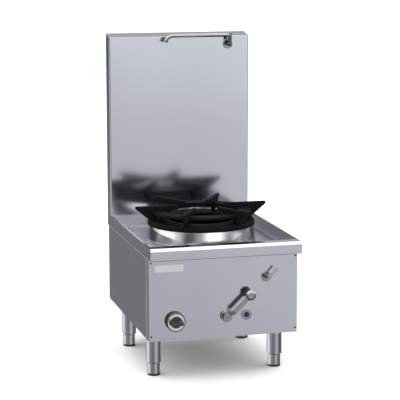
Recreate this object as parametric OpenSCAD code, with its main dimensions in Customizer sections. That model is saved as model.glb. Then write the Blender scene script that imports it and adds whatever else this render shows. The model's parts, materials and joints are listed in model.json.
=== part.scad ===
// Waterless stock pot boiler: a single gas ring on four legs, with a tall splashback and a swinging spout.
// X runs to the right, Y to the back, Z up. The origin lies on the floor under the middle of the box.

/* [Overall] */
// Width of the hob and of the splashback
width = 600; // [580:1:700]
// Depth from the fascia to the back of the splashback
depth = 800; // [780:1:900]
// Height of the splashback's rear top edge above the floor
height = 1300; // [1100:1:1400]
// Height of the hob rim above the floor
hob_z = 540; // [520:1:600]

/* [Hob surround] */
// Sheet thickness of the hob surround and the deck pan
hob_t = 2; // [1.5:0.1:3]
// Drop of the fascia and skirts below the rim
skirt_h = 48; // [44:1:60]
// Radius of the front nose
nose_r = 12; // [8:0.5:16]
// Width of the rim at the two sides
rim_w = 6; // [6:0.5:12]
// Width of the rim at the front, from the fascia to the well
front_rim_w = 50; // [50:1:54]
// Depth of the well from the rim down to the ledge
well_d = 38; // [34:1:42]
// Width of the ledge round the well
ledge_w = 26; // [26:1:34]
// Step from the ledge down to the deck
deck_step = 10; // [7:0.5:14]
// Width of the flange that holds the deck pan under the ledge
deck_flange_w = 10; // [6:1:11]
// Inward lip at the foot of the fascia
fascia_lip_w = 15; // [8:1:24]

/* [Splashback] */
// Depth of the splashback
splash_t = 70; // [60:1:80]
// Height that its top loses from the back edge to the front edge
splash_slope = 14; // [6:1:24]
// Sheet thickness of the splashback
splash_sheet = 1.5; // [1:0.1:2.5]
// Radius of its front upright edges
splash_edge_r = 5; // [3:0.5:8]
// Width of the foot flange of the rear cover
cover_flange_w = 14; // [8:1:20]

/* [Cabinet] */
// Sheet thickness of the panels
panel_sheet = 1.5; // [1:0.1:2]
// Setback of the front panel behind the fascia
panel_back = 49; // [48:0.5:49.5]
// Setback of the cabinet's sides inside the skirts
side_inset = 3; // [2.6:0.1:3.4]
// Height of the cabinet's underside above the floor
body_z = 170; // [150:1:200]
// Depth of the front panel's side returns
return_w = 28; // [20:1:36]
// Depth of the front panel's flanges at the top and the foot
panel_flange_w = 11; // [6:1:12]
// Visible width of the chassis posts beside the returns
post_w = 22; // [16:1:28]
// Sheet thickness of the chassis
chassis_t = 2; // [1.5:0.1:3]
// Height of the chassis rails
rail_h = 25; // [20:1:32]
// Width of the two channels that carry the legs
channel_w = 76; // [70:1:90]
// Setback of the back panel from the back of the splashback
back_inset = 22; // [18:1:30]
// Width and height of the bare plate on the front panel
plate_size = [114, 27];
// Thickness of the bare plate
plate_t = 1; // [0.6:0.1:2]
// Distance from the cabinet's left side to the plate's middle
plate_in_x = 80; // [70:1:110]
// Distance from the rim down to the plate's middle
plate_down = 87.5; // [76:0.5:110]
// Radius of a panel screw's head
screw_head_r = 3.5; // [2.5:0.1:4.5]
// Radius of a panel screw's shank
screw_r = 2; // [1.5:0.1:2.4]
// Distance of the panel screws from the cabinet's sides
screw_in_x = 8; // [6:0.5:11]
// Distance of the upper screws below the rim
screw_down = 64; // [58:1:80]
// Distance of the lower screws above the cabinet's underside
screw_up = 18; // [10:1:30]

/* [Legs] */
// Outer diameter of a leg tube
leg_d = 60.3; // [56:0.1:66]
// Wall of a leg tube
leg_wall = 2; // [1.5:0.1:2.6]
// Distance from the hob's side to a leg's axis
leg_in_x = 52.5; // [46:0.5:70]
// Distance from the fascia to the front legs' axes
leg_in_front = 184; // [170:1:210]
// Distance from the back to the rear legs' axes
leg_in_rear = 163; // [150:1:190]
// Height of a leg tube's lower end above the floor
leg_end_z = 51; // [40:1:60]
// Chamfer on a leg tube's lower end
leg_chamfer = 3; // [1:0.5:4]
// Diameter of the stud that holds a leg
stud_d = 12; // [10:1:14]
// Outer diameter of an adjustable foot
foot_d = 50; // [46:0.1:52]
// Length of a foot inside its leg
foot_grip = 70; // [50:1:80]
// Height of a foot pad
pad_h = 9; // [6:0.5:12]
// Travel of an adjustable foot
foot_travel = 30; // [15:1:40]

/* [Burner top] */
// Distance from the fascia to the burner's axis
burner_in = 390; // [380:1:400]
// Height of the chimney ring
ring_h = 59; // [51:1:71]
// Height of the raised seat in the deck pan that the chimney ring stands on
ring_seat_h = 9; // [6:0.5:11]
// Width of that seat outside the chimney ring
ring_seat_edge = 2.5; // [1:0.5:3.5]
// Outer radius of the chimney ring at its top
ring_top_r = 213; // [208:0.5:213]
// Flare of the chimney ring from its top to its foot
ring_flare = 5; // [1:0.5:7]
// Wall of the chimney ring
ring_t = 2.5; // [1.5:0.1:4]
// Width of the flange that the chimney ring turns in at its top
ring_flange_w = 14; // [8:1:18]
// Rise of the trivet base above the chimney ring
base_rise = 17; // [13:0.5:22]
// Thickness of the trivet base
base_t = 8; // [6:0.5:10]
// Radius of the opening in the trivet base
base_bore_r = 130; // [120:1:140]
// Depth of the lip that the trivet base hangs over the ring
base_lip_h = 4; // [2:0.5:8]
// Thickness of that lip
base_lip_t = 2.6; // [2:0.1:4]
// Radius of the trivet base's shoulder
shoulder_r = 10; // [6:0.5:12]
// Outer radius of the pot support's ring
support_r = 203; // [190:1:206]
// Inner radius of the pot support's ring
support_bore_r = 150; // [142:1:160]
// Thickness of the pot support's ring
support_t = 11; // [8:0.5:14]
// Gap between the trivet base and the pot support's ring
support_gap = 26.5; // [20:0.5:34]
// Height of the fins above the pot support's ring
fin_rise = 21; // [14:0.5:30]
// Number of fins
fin_count = 6; // [4:1:8]
// Thickness of a fin
fin_t = 15; // [10:0.5:18]
// Radius at which a fin begins
fin_in_r = 95; // [80:1:110]
// Radius at which a fin ends
fin_out_r = 271; // [255:1:280]
// Height of a fin's blunt tip
fin_tip_h = 10; // [6:0.5:14]
// Radii between which a fin stands on the trivet base
fin_foot_r = [188, 212];

/* [Burner] */
// Outer radius of the chamber liner
liner_r = 160; // [152:1:166]
// Wall of the chamber liner
liner_t = 2; // [1.5:0.1:3]
// Height of the chamber liner above its flange
liner_up = 40; // [30:1:46]
// Height of the chamber liner below its flange
liner_down = 44; // [36:1:48]
// Width of the chamber liner's flange
liner_flange_w = 14; // [12:1:20]
// Height of the collar round the deck's opening
collar_h = 20; // [12:1:24]
// Radius of the burner head
head_r = 128; // [118:1:130]
// Height of the burner head's rings above its base
head_ring_h = 45; // [36:1:50]
// Width of a burner head ring
head_ring_w = 16; // [12:0.5:20]
// Outer radius of the inner burner ring
head_inner_r = 64; // [52:1:76]
// Thickness of the burner head's base
head_base_t = 15; // [12:0.5:18]
// Wall of the burner head's casting
head_wall = 4; // [3:0.5:4.5]
// Distance from the deck down to the burner head's base
head_down = 37; // [34:0.5:42]
// Radius of a flame port
port_r = 2; // [1.2:0.1:2.6]
// Flame ports in the outer ring
outer_ports = 24; // [16:2:36]
// Flame ports in the inner ring
inner_ports = 12; // [8:2:18]
// Outer radius of the burner head's neck
neck_r = 24; // [23.5:0.5:26]
// Height of the burner head's neck
neck_h = 15; // [12:1:20]
// Thickness of the burner bracket
bracket_t = 4; // [3:0.5:5]
// Width of the burner bracket
bracket_w = 60; // [54:1:80]
// Distance from the burner's axis to the bracket's uprights
bracket_x = 190; // [182:1:198]
// Outer radius of the venturi tube
venturi_r = 22; // [20:0.5:23]
// Wall of the venturi tube
venturi_wall = 3; // [2:0.5:4]
// Distance from the burner head's neck down to the venturi's axis
venturi_down = 40; // [34:1:50]
// Length of the venturi tube from the burner's axis to its mouth
venturi_len = 220; // [190:1:226]
// Length of the air shutter
shutter_len = 30; // [20:1:40]
// Wall of the air shutter
shutter_wall = 2; // [1.5:0.5:3]
// Distance from the venturi's mouth to the air shutter
shutter_in = 6; // [4:1:20]
// Turning range of the air shutter in degrees
shutter_turn = 60; // [30:5:90]
// Radius of the injector's hexagon
injector_r = 9; // [7:0.5:11]
// Radius of the injector's gas hole
injector_bore_r = 1.25; // [0.8:0.05:2]
// Distance from the injector's nose to the venturi's mouth
injector_gap = 6; // [3:0.5:10]
// Radius of the pipe that feeds the injector
feed_r = 6; // [5:0.5:7]
// Wall of the gas pipes
pipe_wall = 1; // [0.8:0.1:1.5]

/* [Pilot] */
// Direction of the pilot burner seen from the burner's axis in degrees
pilot_angle = 237; // [230:1:242]
// Angle between the pilot burner, the thermocouple and the electrode
pilot_step = 7; // [6:0.5:8]
// Radius at which they stand
pilot_at_r = 144; // [142:0.5:147]
// Depth of the shelf that carries them, below the liner's flange
shelf_down = 32; // [28:1:36]
// Radius of the pilot burner's body
pilot_r = 6; // [5:0.5:7]
// Height of the pilot burner's body
pilot_h = 30; // [24:1:36]
// Radius of the pilot tube
pilot_tube_r = 3; // [2:0.5:3.5]
// Radius of the thermocouple's tip
couple_r = 3; // [2.5:0.5:4]
// Height of the thermocouple's tip
couple_h = 38; // [30:1:44]
// Radius of the thermocouple's lead
couple_lead_r = 1.6; // [1.2:0.1:2]
// Radius of the electrode's ceramic
electrode_r = 4; // [3:0.5:5]
// Height of the electrode's ceramic
electrode_h = 26; // [20:1:32]
// Radius of the electrode's wire
spark_r = 1; // [0.8:0.1:1.4]
// Radius of the ignition lead
lead_r = 2.5; // [2:0.1:3]

/* [Gas knob] */
// Distance from the cabinet's left side to the knob's axis
knob_x = 102.5; // [90:0.5:140]
// Height of the knob's axis above the cabinet's underside
knob_up = 74.5; // [66:0.5:90]
// Outer radius of the knob's skirt
knob_r = 37.5; // [32:0.5:40]
// Distance of the knob's dial face from the front panel
knob_face = 20; // [17:0.5:24]
// Gap between the front panel and the knob
knob_gap = 5.2; // [5:0.1:7]
// Push of the knob
knob_push = 4; // [2:0.5:4]
// Turn of the knob in degrees
knob_turn = 200; // [90:5:270]
// Outer and inner radius of the silver dial ring
dial_r = [33.5, 23];
// Thickness of the silver dial ring
dial_t = 1; // [0.6:0.1:1.5]
// Radius of the knob's hub
hub_r = 22.4; // [18:0.1:22.5]
// Height of the knob's hub above the dial
hub_h = 3; // [1.5:0.5:5]
// Length of the grip bar at its foot and at its top
grip_len = [53, 47];
// Thickness of the grip bar
grip_t = 16.5; // [12:0.5:20]
// Height of the grip bar above the dial
grip_h = 26.5; // [18:0.5:27]
// Radius of the valve spindle
spindle_r = 4; // [3:0.5:5]

/* [Gas valves] */
// Width and height of the gas valve's body
valve_size = [44, 50];
// Length of the gas valve's body
valve_len = 55; // [45:1:60]
// Setback of the valves' bodies from the front panel's rear
valve_gap = 4; // [2:0.5:8]
// Radius of the valves' necks in the front panel
valve_neck_r = 12; // [10:0.5:14]
// Width and height of the flow valve's body
flow_size = 34; // [28:1:40]
// Radius of the bosses that the pipes enter
boss_r = 10; // [9:0.5:12]
// Height of those bosses
boss_h = 8; // [6:0.5:12]
// Radius of the main gas pipe
gas_r = 10; // [8:0.5:11]
// Radius of the gas inlet's three quarter inch thread
gas_thread_r = 13.22; // [10:0.01:14]
// Length of the inlets' threads outside the back panel
thread_len = 18; // [12:1:18]
// Radius of the flange of each inlet
inlet_flange_r = 20; // [17:0.5:24]
// Thickness of the collar of each inlet outside the back panel
inlet_collar_t = 3; // [2:0.5:5]
// Width of that collar round the thread
inlet_collar_w = 3.5; // [2.5:0.5:5]
// Length of the relief between that collar and the thread
thread_relief = 1; // [0.5:0.1:2]
// Length of the gas pipe's straight stretch before its inlet
gas_straight = 90; // [60:5:140]
// Distance from the cabinet's left side to the gas inlet's axis
gas_inlet_x = 147; // [120:1:190]
// Height of the gas inlet above the cabinet's underside
gas_inlet_up = 60; // [50:1:90]

/* [Crank lever] */
// Place of the crank lever's axis across the front
crank_x = 9; // [0:0.5:20]
// Height of the crank lever's axis above the cabinet's underside
crank_up = 83; // [76:0.5:92]
// Direction of the crank lever at rest, above the horizontal
crank_angle = 43.8; // [30:0.1:60]
// Distance from the axis to the end cap
crank_len = 121.7; // [100:0.1:130]
// Turn of the crank lever in degrees
crank_turn = 90; // [60:5:90]
// Radius of the lever's washer
washer_r = 22.5; // [20:0.5:26]
// Thickness of the lever's washer
washer_t = 11; // [8:0.5:12]
// Radius of the lever's hub
crank_hub_r = 16; // [13:0.5:18]
// Thickness of the lever's hub
crank_hub_t = 12; // [9:0.5:13]
// Radius of the lever's spindle
crank_pin_r = 6; // [5:0.5:7]
// Width of the arm
arm_w = 15.5; // [12:0.5:18]
// Thickness of the arm
arm_t = 8; // [6:0.5:9]
// Distance of the arm's rear face from the front panel
arm_out = 36; // [34:0.5:37]
// Distances from the axis at which the jog starts and ends
jog_at = [14, 36];
// Outer radius of the end cap
cap_r = 21; // [18:0.5:22]
// Thickness of the end cap
cap_t = 15; // [12:0.5:15]
// Radius of the end cap's front face
cap_face_r = 14.5; // [10:0.5:17]
// Height of the bevel on the end cap
cap_bevel = 5; // [3:0.5:7]

/* [Push button] */
// Place of the button's axis across the front
button_x = 90.7; // [80:0.1:110]
// Height of the button's axis above the cabinet's underside
button_up = 83; // [76:0.5:92]
// Radius of the bezel
bezel_r = 20.4; // [18:0.1:22]
// Thickness of the bezel
bezel_t = 4; // [3:0.5:6]
// Radius of the bezel's bore
bezel_bore_r = 9.4; // [9:0.1:10]
// Radius of the bezel's barrel in the panel
barrel_r = 12; // [11.5:0.1:13]
// Length of the bezel's barrel behind the panel's face
barrel_len = 20; // [18:1:24]
// Radius of the button's head
button_r = 8.2; // [7:0.1:8.6]
// Height of the button above the bezel
button_out = 7.5; // [6:0.5:10]
// Push of the button
button_push = 5; // [3:0.5:5]
// Radius of the igniter's body
igniter_r = 14; // [13:0.5:18]
// Length of the igniter's body
igniter_len = 34; // [26:1:40]

/* [Tap] */
// Distance from the cabinet's right side to the tap's axis
tap_x = 127; // [112:0.5:147]
// Height of the tap's axis above the cabinet's underside
tap_up = 230; // [210:1:240]
// Radius of the tap's escutcheon
escutcheon_r = 20; // [17:0.5:24]
// Thickness of the tap's escutcheon
escutcheon_t = 3; // [2:0.5:5]
// Radius of the tap's hub
tap_hub_r = 7.5; // [6:0.5:9]
// Distance of the hub's front end from the front panel
tap_hub_out = 36; // [32:1:42]
// Radius of the tap's spindle
tap_pin_r = 4; // [3:0.5:5]
// Radius of the rod lever
rod_r = 3.4; // [2.5:0.1:4.5]
// Distance of the rod lever from the front panel
rod_out = 28.5; // [22:0.5:28.5]
// Length of the rod lever from the tap's axis
rod_len = 46; // [36:1:60]
// Direction of the rod lever at rest, above the horizontal
rod_angle = 45; // [30:1:60]
// Turn of the tap in degrees
tap_turn = 90; // [60:5:90]
// Radius of the water valve's body
water_valve_r = 15; // [13:0.5:18]
// Length of the water valve's body
water_valve_len = 50; // [42:1:58]

/* [Water] */
// Radius of the water pipes
water_r = 8; // [6:0.5:9]
// Radius of the water inlet's half inch thread
water_thread_r = 10.48; // [8:0.01:12]
// Length over which the water pipe crosses from the tap to its inlet
water_cross = 120; // [90:5:160]
// Distance from the cabinet's right side to the water inlet's axis
water_inlet_x = 187; // [167:1:207]
// Height of the water inlet above the cabinet's underside
water_inlet_up = 150; // [120:1:180]

/* [Spout] */
// Distance from the splashback's right side to the spout's riser
spout_x = 92; // [70:1:120]
// Distance from the splashback's top down to the wall flange
spout_down = 48; // [44:1:60]
// Distance of the riser from the splashback's face
spout_out = 34; // [30:1:44]
// Radius of the wall flange
flange_r = 20.5; // [17:0.5:24]
// Thickness of the wall flange
flange_t = 5; // [3:0.5:7]
// Radius of the shank behind the wall flange
shank_r = 10; // [9:0.5:12]
// Length of the shank behind the splashback's face
shank_len = 15; // [12:1:18]
// Radius of the elbow's arm and riser
riser_r = 7.5; // [7:0.1:8.5]
// Radius of the ball at the foot of the riser
ball_r = 8.6; // [8.2:0.1:10]
// Radius of the spigot that the tube swings on
spigot_r = 5.5; // [4.5:0.1:6]
// Outer radius of the spout tube
tube_r = 7.8; // [7:0.1:8]
// Wall of the spout tube
tube_wall = 1.3; // [1:0.1:2]
// Radius of the tube's hub
tube_hub_r = 8.2; // [8.1:0.1:10]
// Height of the tube's hub
tube_hub_h = 16.5; // [16.5:0.5:20]
// Length of the tube from the riser to its bend
tube_len = 246; // [200:1:260]
// Radius of the tube's bend
bend_r = 31; // [26:1:40]
// Angle of the tube's bend in degrees
bend_turn = 72; // [50:1:90]
// Length of the nozzle after the bend
nozzle_len = 6; // [4:1:12]
// Swing of the spout in degrees
spout_turn = 180; // [90:5:180]

/* [Clearances] */
// Radial clearance of shafts in their bores
fit = 0.05; // [0.02:0.01:0.1]
// Clearance between moving faces
gap = 0.3; // [0.2:0.05:0.5]
// Clearance of fixed pieces in their holes
hole_gap = 0.2; // [0.1:0.05:0.4]
// Clearance under the feet of the pot support
rest_gap = 0.15; // [0.05:0.05:0.3]

/* [Hidden] */
$fn = 72;

// A small overlap that keeps cuts clean
eps = 1;

// Colours as the photograph shows them
steel = [0.66, 0.67, 0.70];
dark_steel = [0.42, 0.43, 0.46];
bright_steel = [0.78, 0.78, 0.80];
chrome = [0.80, 0.79, 0.77];
iron = [0.10, 0.10, 0.10];
black = [0.07, 0.07, 0.08];
brass = [0.76, 0.60, 0.30];
copper = [0.72, 0.42, 0.28];
ceramic = [0.90, 0.88, 0.84];
blue = [0.08, 0.12, 0.62];

// Planes of the body
front_y = -depth / 2;
back_y = depth / 2;
splash_y = back_y - splash_t;
panel_y = front_y + panel_back;
panel_rear_y = panel_y + panel_sheet;
side_x = width / 2 - side_inset;
side_in_x = side_x - panel_sheet;
skirt_z = hob_z - skirt_h;
rear_panel_y = back_y - back_inset;
return_end_y = panel_y + return_w;
post_end_y = return_end_y + post_w;

// Well, ledge and deck
well_x = width / 2 - rim_w;
well_front_y = front_y + front_rim_w;
ledge_z = hob_z - well_d;
ledge_under_z = ledge_z - hob_t;
deck_z = ledge_z - deck_step;
deck_under_z = deck_z - hob_t;
deck_x = well_x - ledge_w;
deck_front_y = well_front_y + ledge_w;
deck_rear_y = splash_y - ledge_w;
pan_x = deck_x + hob_t;
pan_flange_x = pan_x + deck_flange_w;

// Burner
burner_y = front_y + burner_in;
ring_foot_r = ring_top_r + ring_flare;
ring_foot_z = deck_z + ring_seat_h;
ring_seat_r = ring_foot_r + ring_seat_edge;
seat_under_z = ring_foot_z - hob_t;
ring_top_z = ring_foot_z + ring_h;
base_top_z = ring_top_z + base_rise;
base_bore_edge_r = ring_top_r - ring_flange_w;
base_r = ring_top_r + 2 * gap + base_lip_t;
support_z = base_top_z + support_gap;
support_top_z = support_z + support_t;
fin_top_z = support_top_z + fin_rise;
collar_r = liner_r + liner_flange_w - 2 * hob_t;
liner_seat_z = deck_z + collar_h;
liner_foot_z = liner_seat_z - liner_down;
head_z = deck_z - head_down;
head_top_z = head_z + head_base_t + head_ring_h;
neck_z = head_z - neck_h;
venturi_z = neck_z - venturi_down;
mouth_y = burner_y - venturi_len;
shutter_y = mouth_y + shutter_in;
injector_nose_y = mouth_y - injector_gap;
injector_nose_len = 20;
injector_hex_len = 12;
injector_end_y = injector_nose_y - injector_nose_len - injector_hex_len;
shelf_z = liner_seat_z - shelf_down;
shelf_w = 56;

// Legs
leg_x = width / 2 - leg_in_x;
leg_front_y = front_y + leg_in_front;
leg_rear_y = back_y - leg_in_rear;
pan_top_z = body_z + panel_sheet;
rail_z = pan_top_z + rail_h;
leg_cap_t = 5;
leg_bush_h = 15;
stud_len = panel_sheet + chassis_t + 14;
boss_nut_h = 10;
boss_nut_r = 11;

// Controls
knob_at_x = -side_x + knob_x;
tap_at_x = side_x - tap_x;
gas_inlet_at_x = -side_x + gas_inlet_x;
water_inlet_at_x = side_x - water_inlet_x;
knob_z = body_z + knob_up;
crank_z = body_z + crank_up;
button_z = body_z + button_up;
tap_z = body_z + tap_up;
valve_y = panel_rear_y + valve_gap;
valve_end_y = valve_y + valve_len;
valve_top_z = knob_z + valve_size[1] / 2;
flow_end_y = valve_y + valve_len;
flow_mid_y = valve_y + valve_len / 2 + 10;
flow_top_z = crank_z + flow_size / 2;
panel_hole_r = valve_neck_r + hole_gap;
spindle_end_y = panel_y - knob_face + 4;
spindle_root_y = valve_y + 34;
barrel_end_y = panel_y + barrel_len;
igniter_end_y = barrel_end_y + igniter_len;
water_valve_end_y = valve_y + water_valve_len;
collar_end_y = rear_panel_y + inlet_collar_t;
inlet_end_y = rear_panel_y + thread_len;
gas_inlet_z = body_z + gas_inlet_up;
water_inlet_z = body_z + water_inlet_up;

// Spout
spout_at_x = width / 2 - spout_x;
spout_z = height - spout_down;
riser_y = splash_y - spout_out;
hub_top_z = height - 0.5;
hub_z = hub_top_z - tube_hub_h;
tube_z = hub_z + tube_hub_h / 2;
nut_h = 8;
nut_z = hub_z - gap - nut_h;
spout_pipe_y = splash_y + splash_t / 2;

// Legs by name: front or rear, left or right
LEG_AT = [[-leg_x, leg_front_y], [leg_x, leg_front_y], [-leg_x, leg_rear_y], [leg_x, leg_rear_y]];

// Box between two corners
module span(x0, x1, y0, y1, z0, z1) {
  translate([x0, y0, z0]) cube([x1 - x0, y1 - y0, z1 - z0]);
}

// Upright cylinder between two heights
module post(x, y, z0, z1, r) {
  translate([x, y, z0]) cylinder(h = z1 - z0, r = r);
}

// Cylinder that lies along Y between two places
module bar_y(x, z, y0, y1, r) {
  translate([x, y0, z]) rotate([-90, 0, 0]) cylinder(h = y1 - y0, r = r);
}

// Extrusion along X, centred, of an outline drawn in Y and Z
module along_x(w) {
  rotate([90, 0, 90]) translate([0, 0, -w / 2]) linear_extrude(w) children();
}

// Round rod between two points
module rod(a, b, r) {
  d = b - a;
  translate(a) rotate([0, acos(d[2] / norm(d)), atan2(d[1], d[0])]) rotate([0, 0, 33])
    cylinder(h = norm(d), r = r);
}

// Round run through points, with a slightly larger ball at each bend
module run(pts, r) {
  for (i = [0 : len(pts) - 2]) rod(pts[i], pts[i + 1], r);
  for (i = [1 : 1 : len(pts) - 2]) translate(pts[i]) rotate([12, 60, 30]) sphere(r = r * 1.15);
}

// The same points with both ends drawn out, for a clean bore
function drawn_out(pts) =
  let (n = len(pts), a = pts[0] - pts[1], b = pts[n - 1] - pts[n - 2])
  [for (i = [0 : n - 1])
    i == 0 ? pts[0] + a / norm(a) * eps : i == n - 1 ? pts[n - 1] + b / norm(b) * eps : pts[i]];

// Pipe through points
module pipe(pts, r, wall) {
  difference() {
    run(pts, r);
    run(drawn_out(pts), r - wall);
  }
}

// Side section of the hob surround, drawn in by a distance
module hob_section(inset) {
  r = nose_r - inset;
  translate([front_y + nose_r, hob_z - nose_r]) circle(r);
  translate([front_y + inset, skirt_z - (inset > 0 ? eps : 0)])
    square([depth - 2 * inset, skirt_h - nose_r + (inset > 0 ? eps : 0)]);
  translate([front_y + nose_r, hob_z - nose_r - eps])
    square([depth - nose_r - inset, nose_r - inset + eps]);
}

module hob_top() {
  color(steel) difference() {
    union() {
      difference() {
        along_x(width) hob_section(0);
        along_x(width - 2 * hob_t) hob_section(hob_t);
      }
      difference() {
        span(-well_x - hob_t, well_x + hob_t, well_front_y - hob_t, splash_y + hob_t, ledge_under_z,
          hob_z - hob_t / 2);
        span(-deck_x, deck_x, deck_front_y, deck_rear_y, ledge_under_z - eps, hob_z);
      }
      span(-width / 2 + hob_t / 2, width / 2 - hob_t / 2, front_y + hob_t / 2, front_y + fascia_lip_w,
        skirt_z, skirt_z + hob_t);
    }
    span(-well_x, well_x, well_front_y, splash_y, ledge_z, hob_z + eps);
    post(spout_at_x, spout_pipe_y, hob_z - 2 * hob_t, hob_z + eps, water_r + 2);
  }
}

module deck_pan() {
  collar_out_r = collar_r + hob_t;
  color(steel) difference() {
    union() {
      span(-pan_x, pan_x, deck_front_y - hob_t, deck_rear_y + hob_t, deck_under_z, ledge_under_z);
      span(-pan_flange_x, pan_flange_x, deck_front_y - hob_t - deck_flange_w,
        deck_rear_y + hob_t + deck_flange_w, ledge_under_z - hob_t, ledge_under_z);
      post(0, burner_y, deck_under_z, liner_seat_z, collar_out_r);
      post(0, burner_y, deck_under_z, ring_foot_z, ring_seat_r);
    }
    difference() {
      span(-deck_x, deck_x, deck_front_y, deck_rear_y, deck_z, liner_seat_z + eps);
      post(0, burner_y, deck_z - eps, liner_seat_z + 2 * eps, collar_out_r);
      post(0, burner_y, deck_z - eps, ring_foot_z, ring_seat_r);
    }
    difference() {
      post(0, burner_y, deck_under_z - eps, seat_under_z, ring_seat_r - hob_t);
      post(0, burner_y, deck_under_z - 2 * eps, seat_under_z + eps, collar_out_r);
    }
    post(0, burner_y, deck_under_z - eps, liner_seat_z + 3 * eps, collar_r);
  }
}

// Holes in the front panel for the controls
module control_holes() {
  for (p = [[knob_at_x, knob_z], [crank_x, crank_z], [tap_at_x, tap_z]])
    bar_y(p[0], p[1], panel_y - eps, panel_rear_y + eps, panel_hole_r);
  bar_y(button_x, button_z, panel_y - eps, panel_rear_y + eps, barrel_r + hole_gap);
}

// Screw places on the front panel
SCREW_AT = [for (x = [-1, 1], z = [hob_z - screw_down, body_z + screw_up])
  [x * (side_x - screw_in_x), z]];
// Screw places on the back panel, which add one pair at mid height
REAR_SCREW_AT = concat(SCREW_AT,
  [for (x = [-1, 1]) [x * (side_x - screw_in_x), (hob_z - screw_down + body_z + screw_up) / 2]]);

module front_panel() {
  color(steel) difference() {
    union() {
      span(-side_x, side_x, panel_y, panel_rear_y, body_z, ledge_under_z);
      for (s = [-1, 1])
        span(min(s * side_x, s * side_in_x), max(s * side_x, s * side_in_x), panel_y, return_end_y,
          body_z, skirt_z + 6);
      span(-side_in_x, side_in_x, panel_y, panel_rear_y + panel_flange_w, body_z, pan_top_z);
      span(-well_x, well_x, panel_y, panel_y + panel_flange_w, ledge_under_z - panel_sheet,
        ledge_under_z);
    }
    control_holes();
    for (p = SCREW_AT)
      bar_y(p[0], p[1], panel_y - eps, panel_rear_y + eps, screw_r + hole_gap);
  }
}

// Side panel on the side with the given sign
module side_panel(s) {
  color(dark_steel) {
    span(min(s * side_x, s * side_in_x), max(s * side_x, s * side_in_x), post_end_y, back_y - hob_t,
      body_z, ledge_under_z);
    span(min(s * side_in_x, s * (pan_flange_x + 1)), max(s * side_in_x, s * (pan_flange_x + 1)),
      post_end_y, splash_y, ledge_under_z - panel_sheet, ledge_under_z);
  }
}

module left_side_panel() {
  side_panel(-1);
}

module right_side_panel() {
  side_panel(1);
}

module back_panel() {
  color(dark_steel) difference() {
    span(-side_in_x, side_in_x, rear_panel_y - panel_sheet, rear_panel_y, pan_top_z, hob_z - hob_t);
    bar_y(gas_inlet_at_x, gas_inlet_z, rear_panel_y - 2 * panel_sheet, rear_panel_y + eps,
      gas_thread_r + hole_gap);
    bar_y(water_inlet_at_x, water_inlet_z, rear_panel_y - 2 * panel_sheet, rear_panel_y + eps,
      water_thread_r + hole_gap);
    for (p = REAR_SCREW_AT)
      bar_y(p[0], p[1], rear_panel_y - 2 * panel_sheet, rear_panel_y + eps, screw_r + hole_gap);
  }
}

module base_pan() {
  color(dark_steel) difference() {
    span(-side_in_x, side_in_x, panel_rear_y + panel_flange_w, rear_panel_y, body_z, pan_top_z);
    for (p = LEG_AT) post(p[0], p[1], body_z - eps, pan_top_z + eps, stud_d / 2 + hole_gap);
  }
}

// Rear screws bite in posts of this width
rear_post_w = 24;

module chassis_frame() {
  post_in_x = side_in_x - chassis_t;
  rail_in_x = side_in_x - rear_post_w;
  post_top_z = ledge_under_z - panel_sheet - 1;
  rail_y = panel_rear_y + panel_flange_w;
  rear_y = rear_panel_y - panel_sheet;
  color(dark_steel) difference() {
    union() {
      for (s = [-1, 1]) {
        span(min(s * side_in_x, s * post_in_x), max(s * side_in_x, s * post_in_x), panel_rear_y,
          post_end_y, pan_top_z, post_top_z);
        span(min(s * side_x, s * post_in_x), max(s * side_x, s * post_in_x), return_end_y, post_end_y,
          pan_top_z, post_top_z);
        span(min(s * side_in_x, s * rail_in_x), max(s * side_in_x, s * rail_in_x), panel_rear_y,
          panel_rear_y + chassis_t, pan_top_z, post_top_z);
        span(min(s * side_in_x, s * rail_in_x), max(s * side_in_x, s * rail_in_x), rear_y - chassis_t,
          rear_y, pan_top_z, post_top_z);
        span(min(s * side_in_x, s * post_in_x), max(s * side_in_x, s * post_in_x),
          rear_y - rear_post_w, rear_y, pan_top_z, post_top_z);
        span(min(s * side_in_x, s * rail_in_x), max(s * side_in_x, s * rail_in_x), rail_y, rear_y,
          pan_top_z, rail_z);
      }
      span(-rail_in_x - eps, rail_in_x + eps, rail_y, rail_y + rear_post_w, pan_top_z, rail_z);
      span(-rail_in_x - eps, rail_in_x + eps, rear_y - rear_post_w, rear_y, pan_top_z, rail_z);
      for (y = [leg_front_y, leg_rear_y]) difference() {
        span(-rail_in_x - eps, rail_in_x + eps, y - channel_w / 2, y + channel_w / 2, pan_top_z, rail_z);
        span(-rail_in_x, rail_in_x, y - channel_w / 2 + chassis_t, y + channel_w / 2 - chassis_t,
          pan_top_z + chassis_t, rail_z + eps);
      }
      for (p = LEG_AT) translate([p[0], p[1], pan_top_z + chassis_t / 2])
        cylinder(h = chassis_t / 2 + boss_nut_h, r = boss_nut_r, $fn = 6);
    }
    for (s = [-1, 1])
      span(min(s * (side_in_x - chassis_t), s * (rail_in_x + chassis_t)),
        max(s * (side_in_x - chassis_t), s * (rail_in_x + chassis_t)), rail_y + chassis_t,
        rear_y - chassis_t, pan_top_z - eps, rail_z - chassis_t);
    for (y = [rail_y, rear_y - rear_post_w])
      span(-rail_in_x - 2 * chassis_t, rail_in_x + 2 * chassis_t, y + chassis_t,
        y + rear_post_w - chassis_t, pan_top_z - eps, rail_z - chassis_t);
    for (p = LEG_AT) post(p[0], p[1], pan_top_z - eps, rail_z + eps, stud_d / 2 + hole_gap);
    for (p = SCREW_AT) bar_y(p[0], p[1], panel_y, panel_rear_y + chassis_t + eps, screw_r + hole_gap);
    for (p = REAR_SCREW_AT)
      bar_y(p[0], p[1], rear_y - chassis_t - eps, rear_y + eps, screw_r + hole_gap);
  }
}

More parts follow.
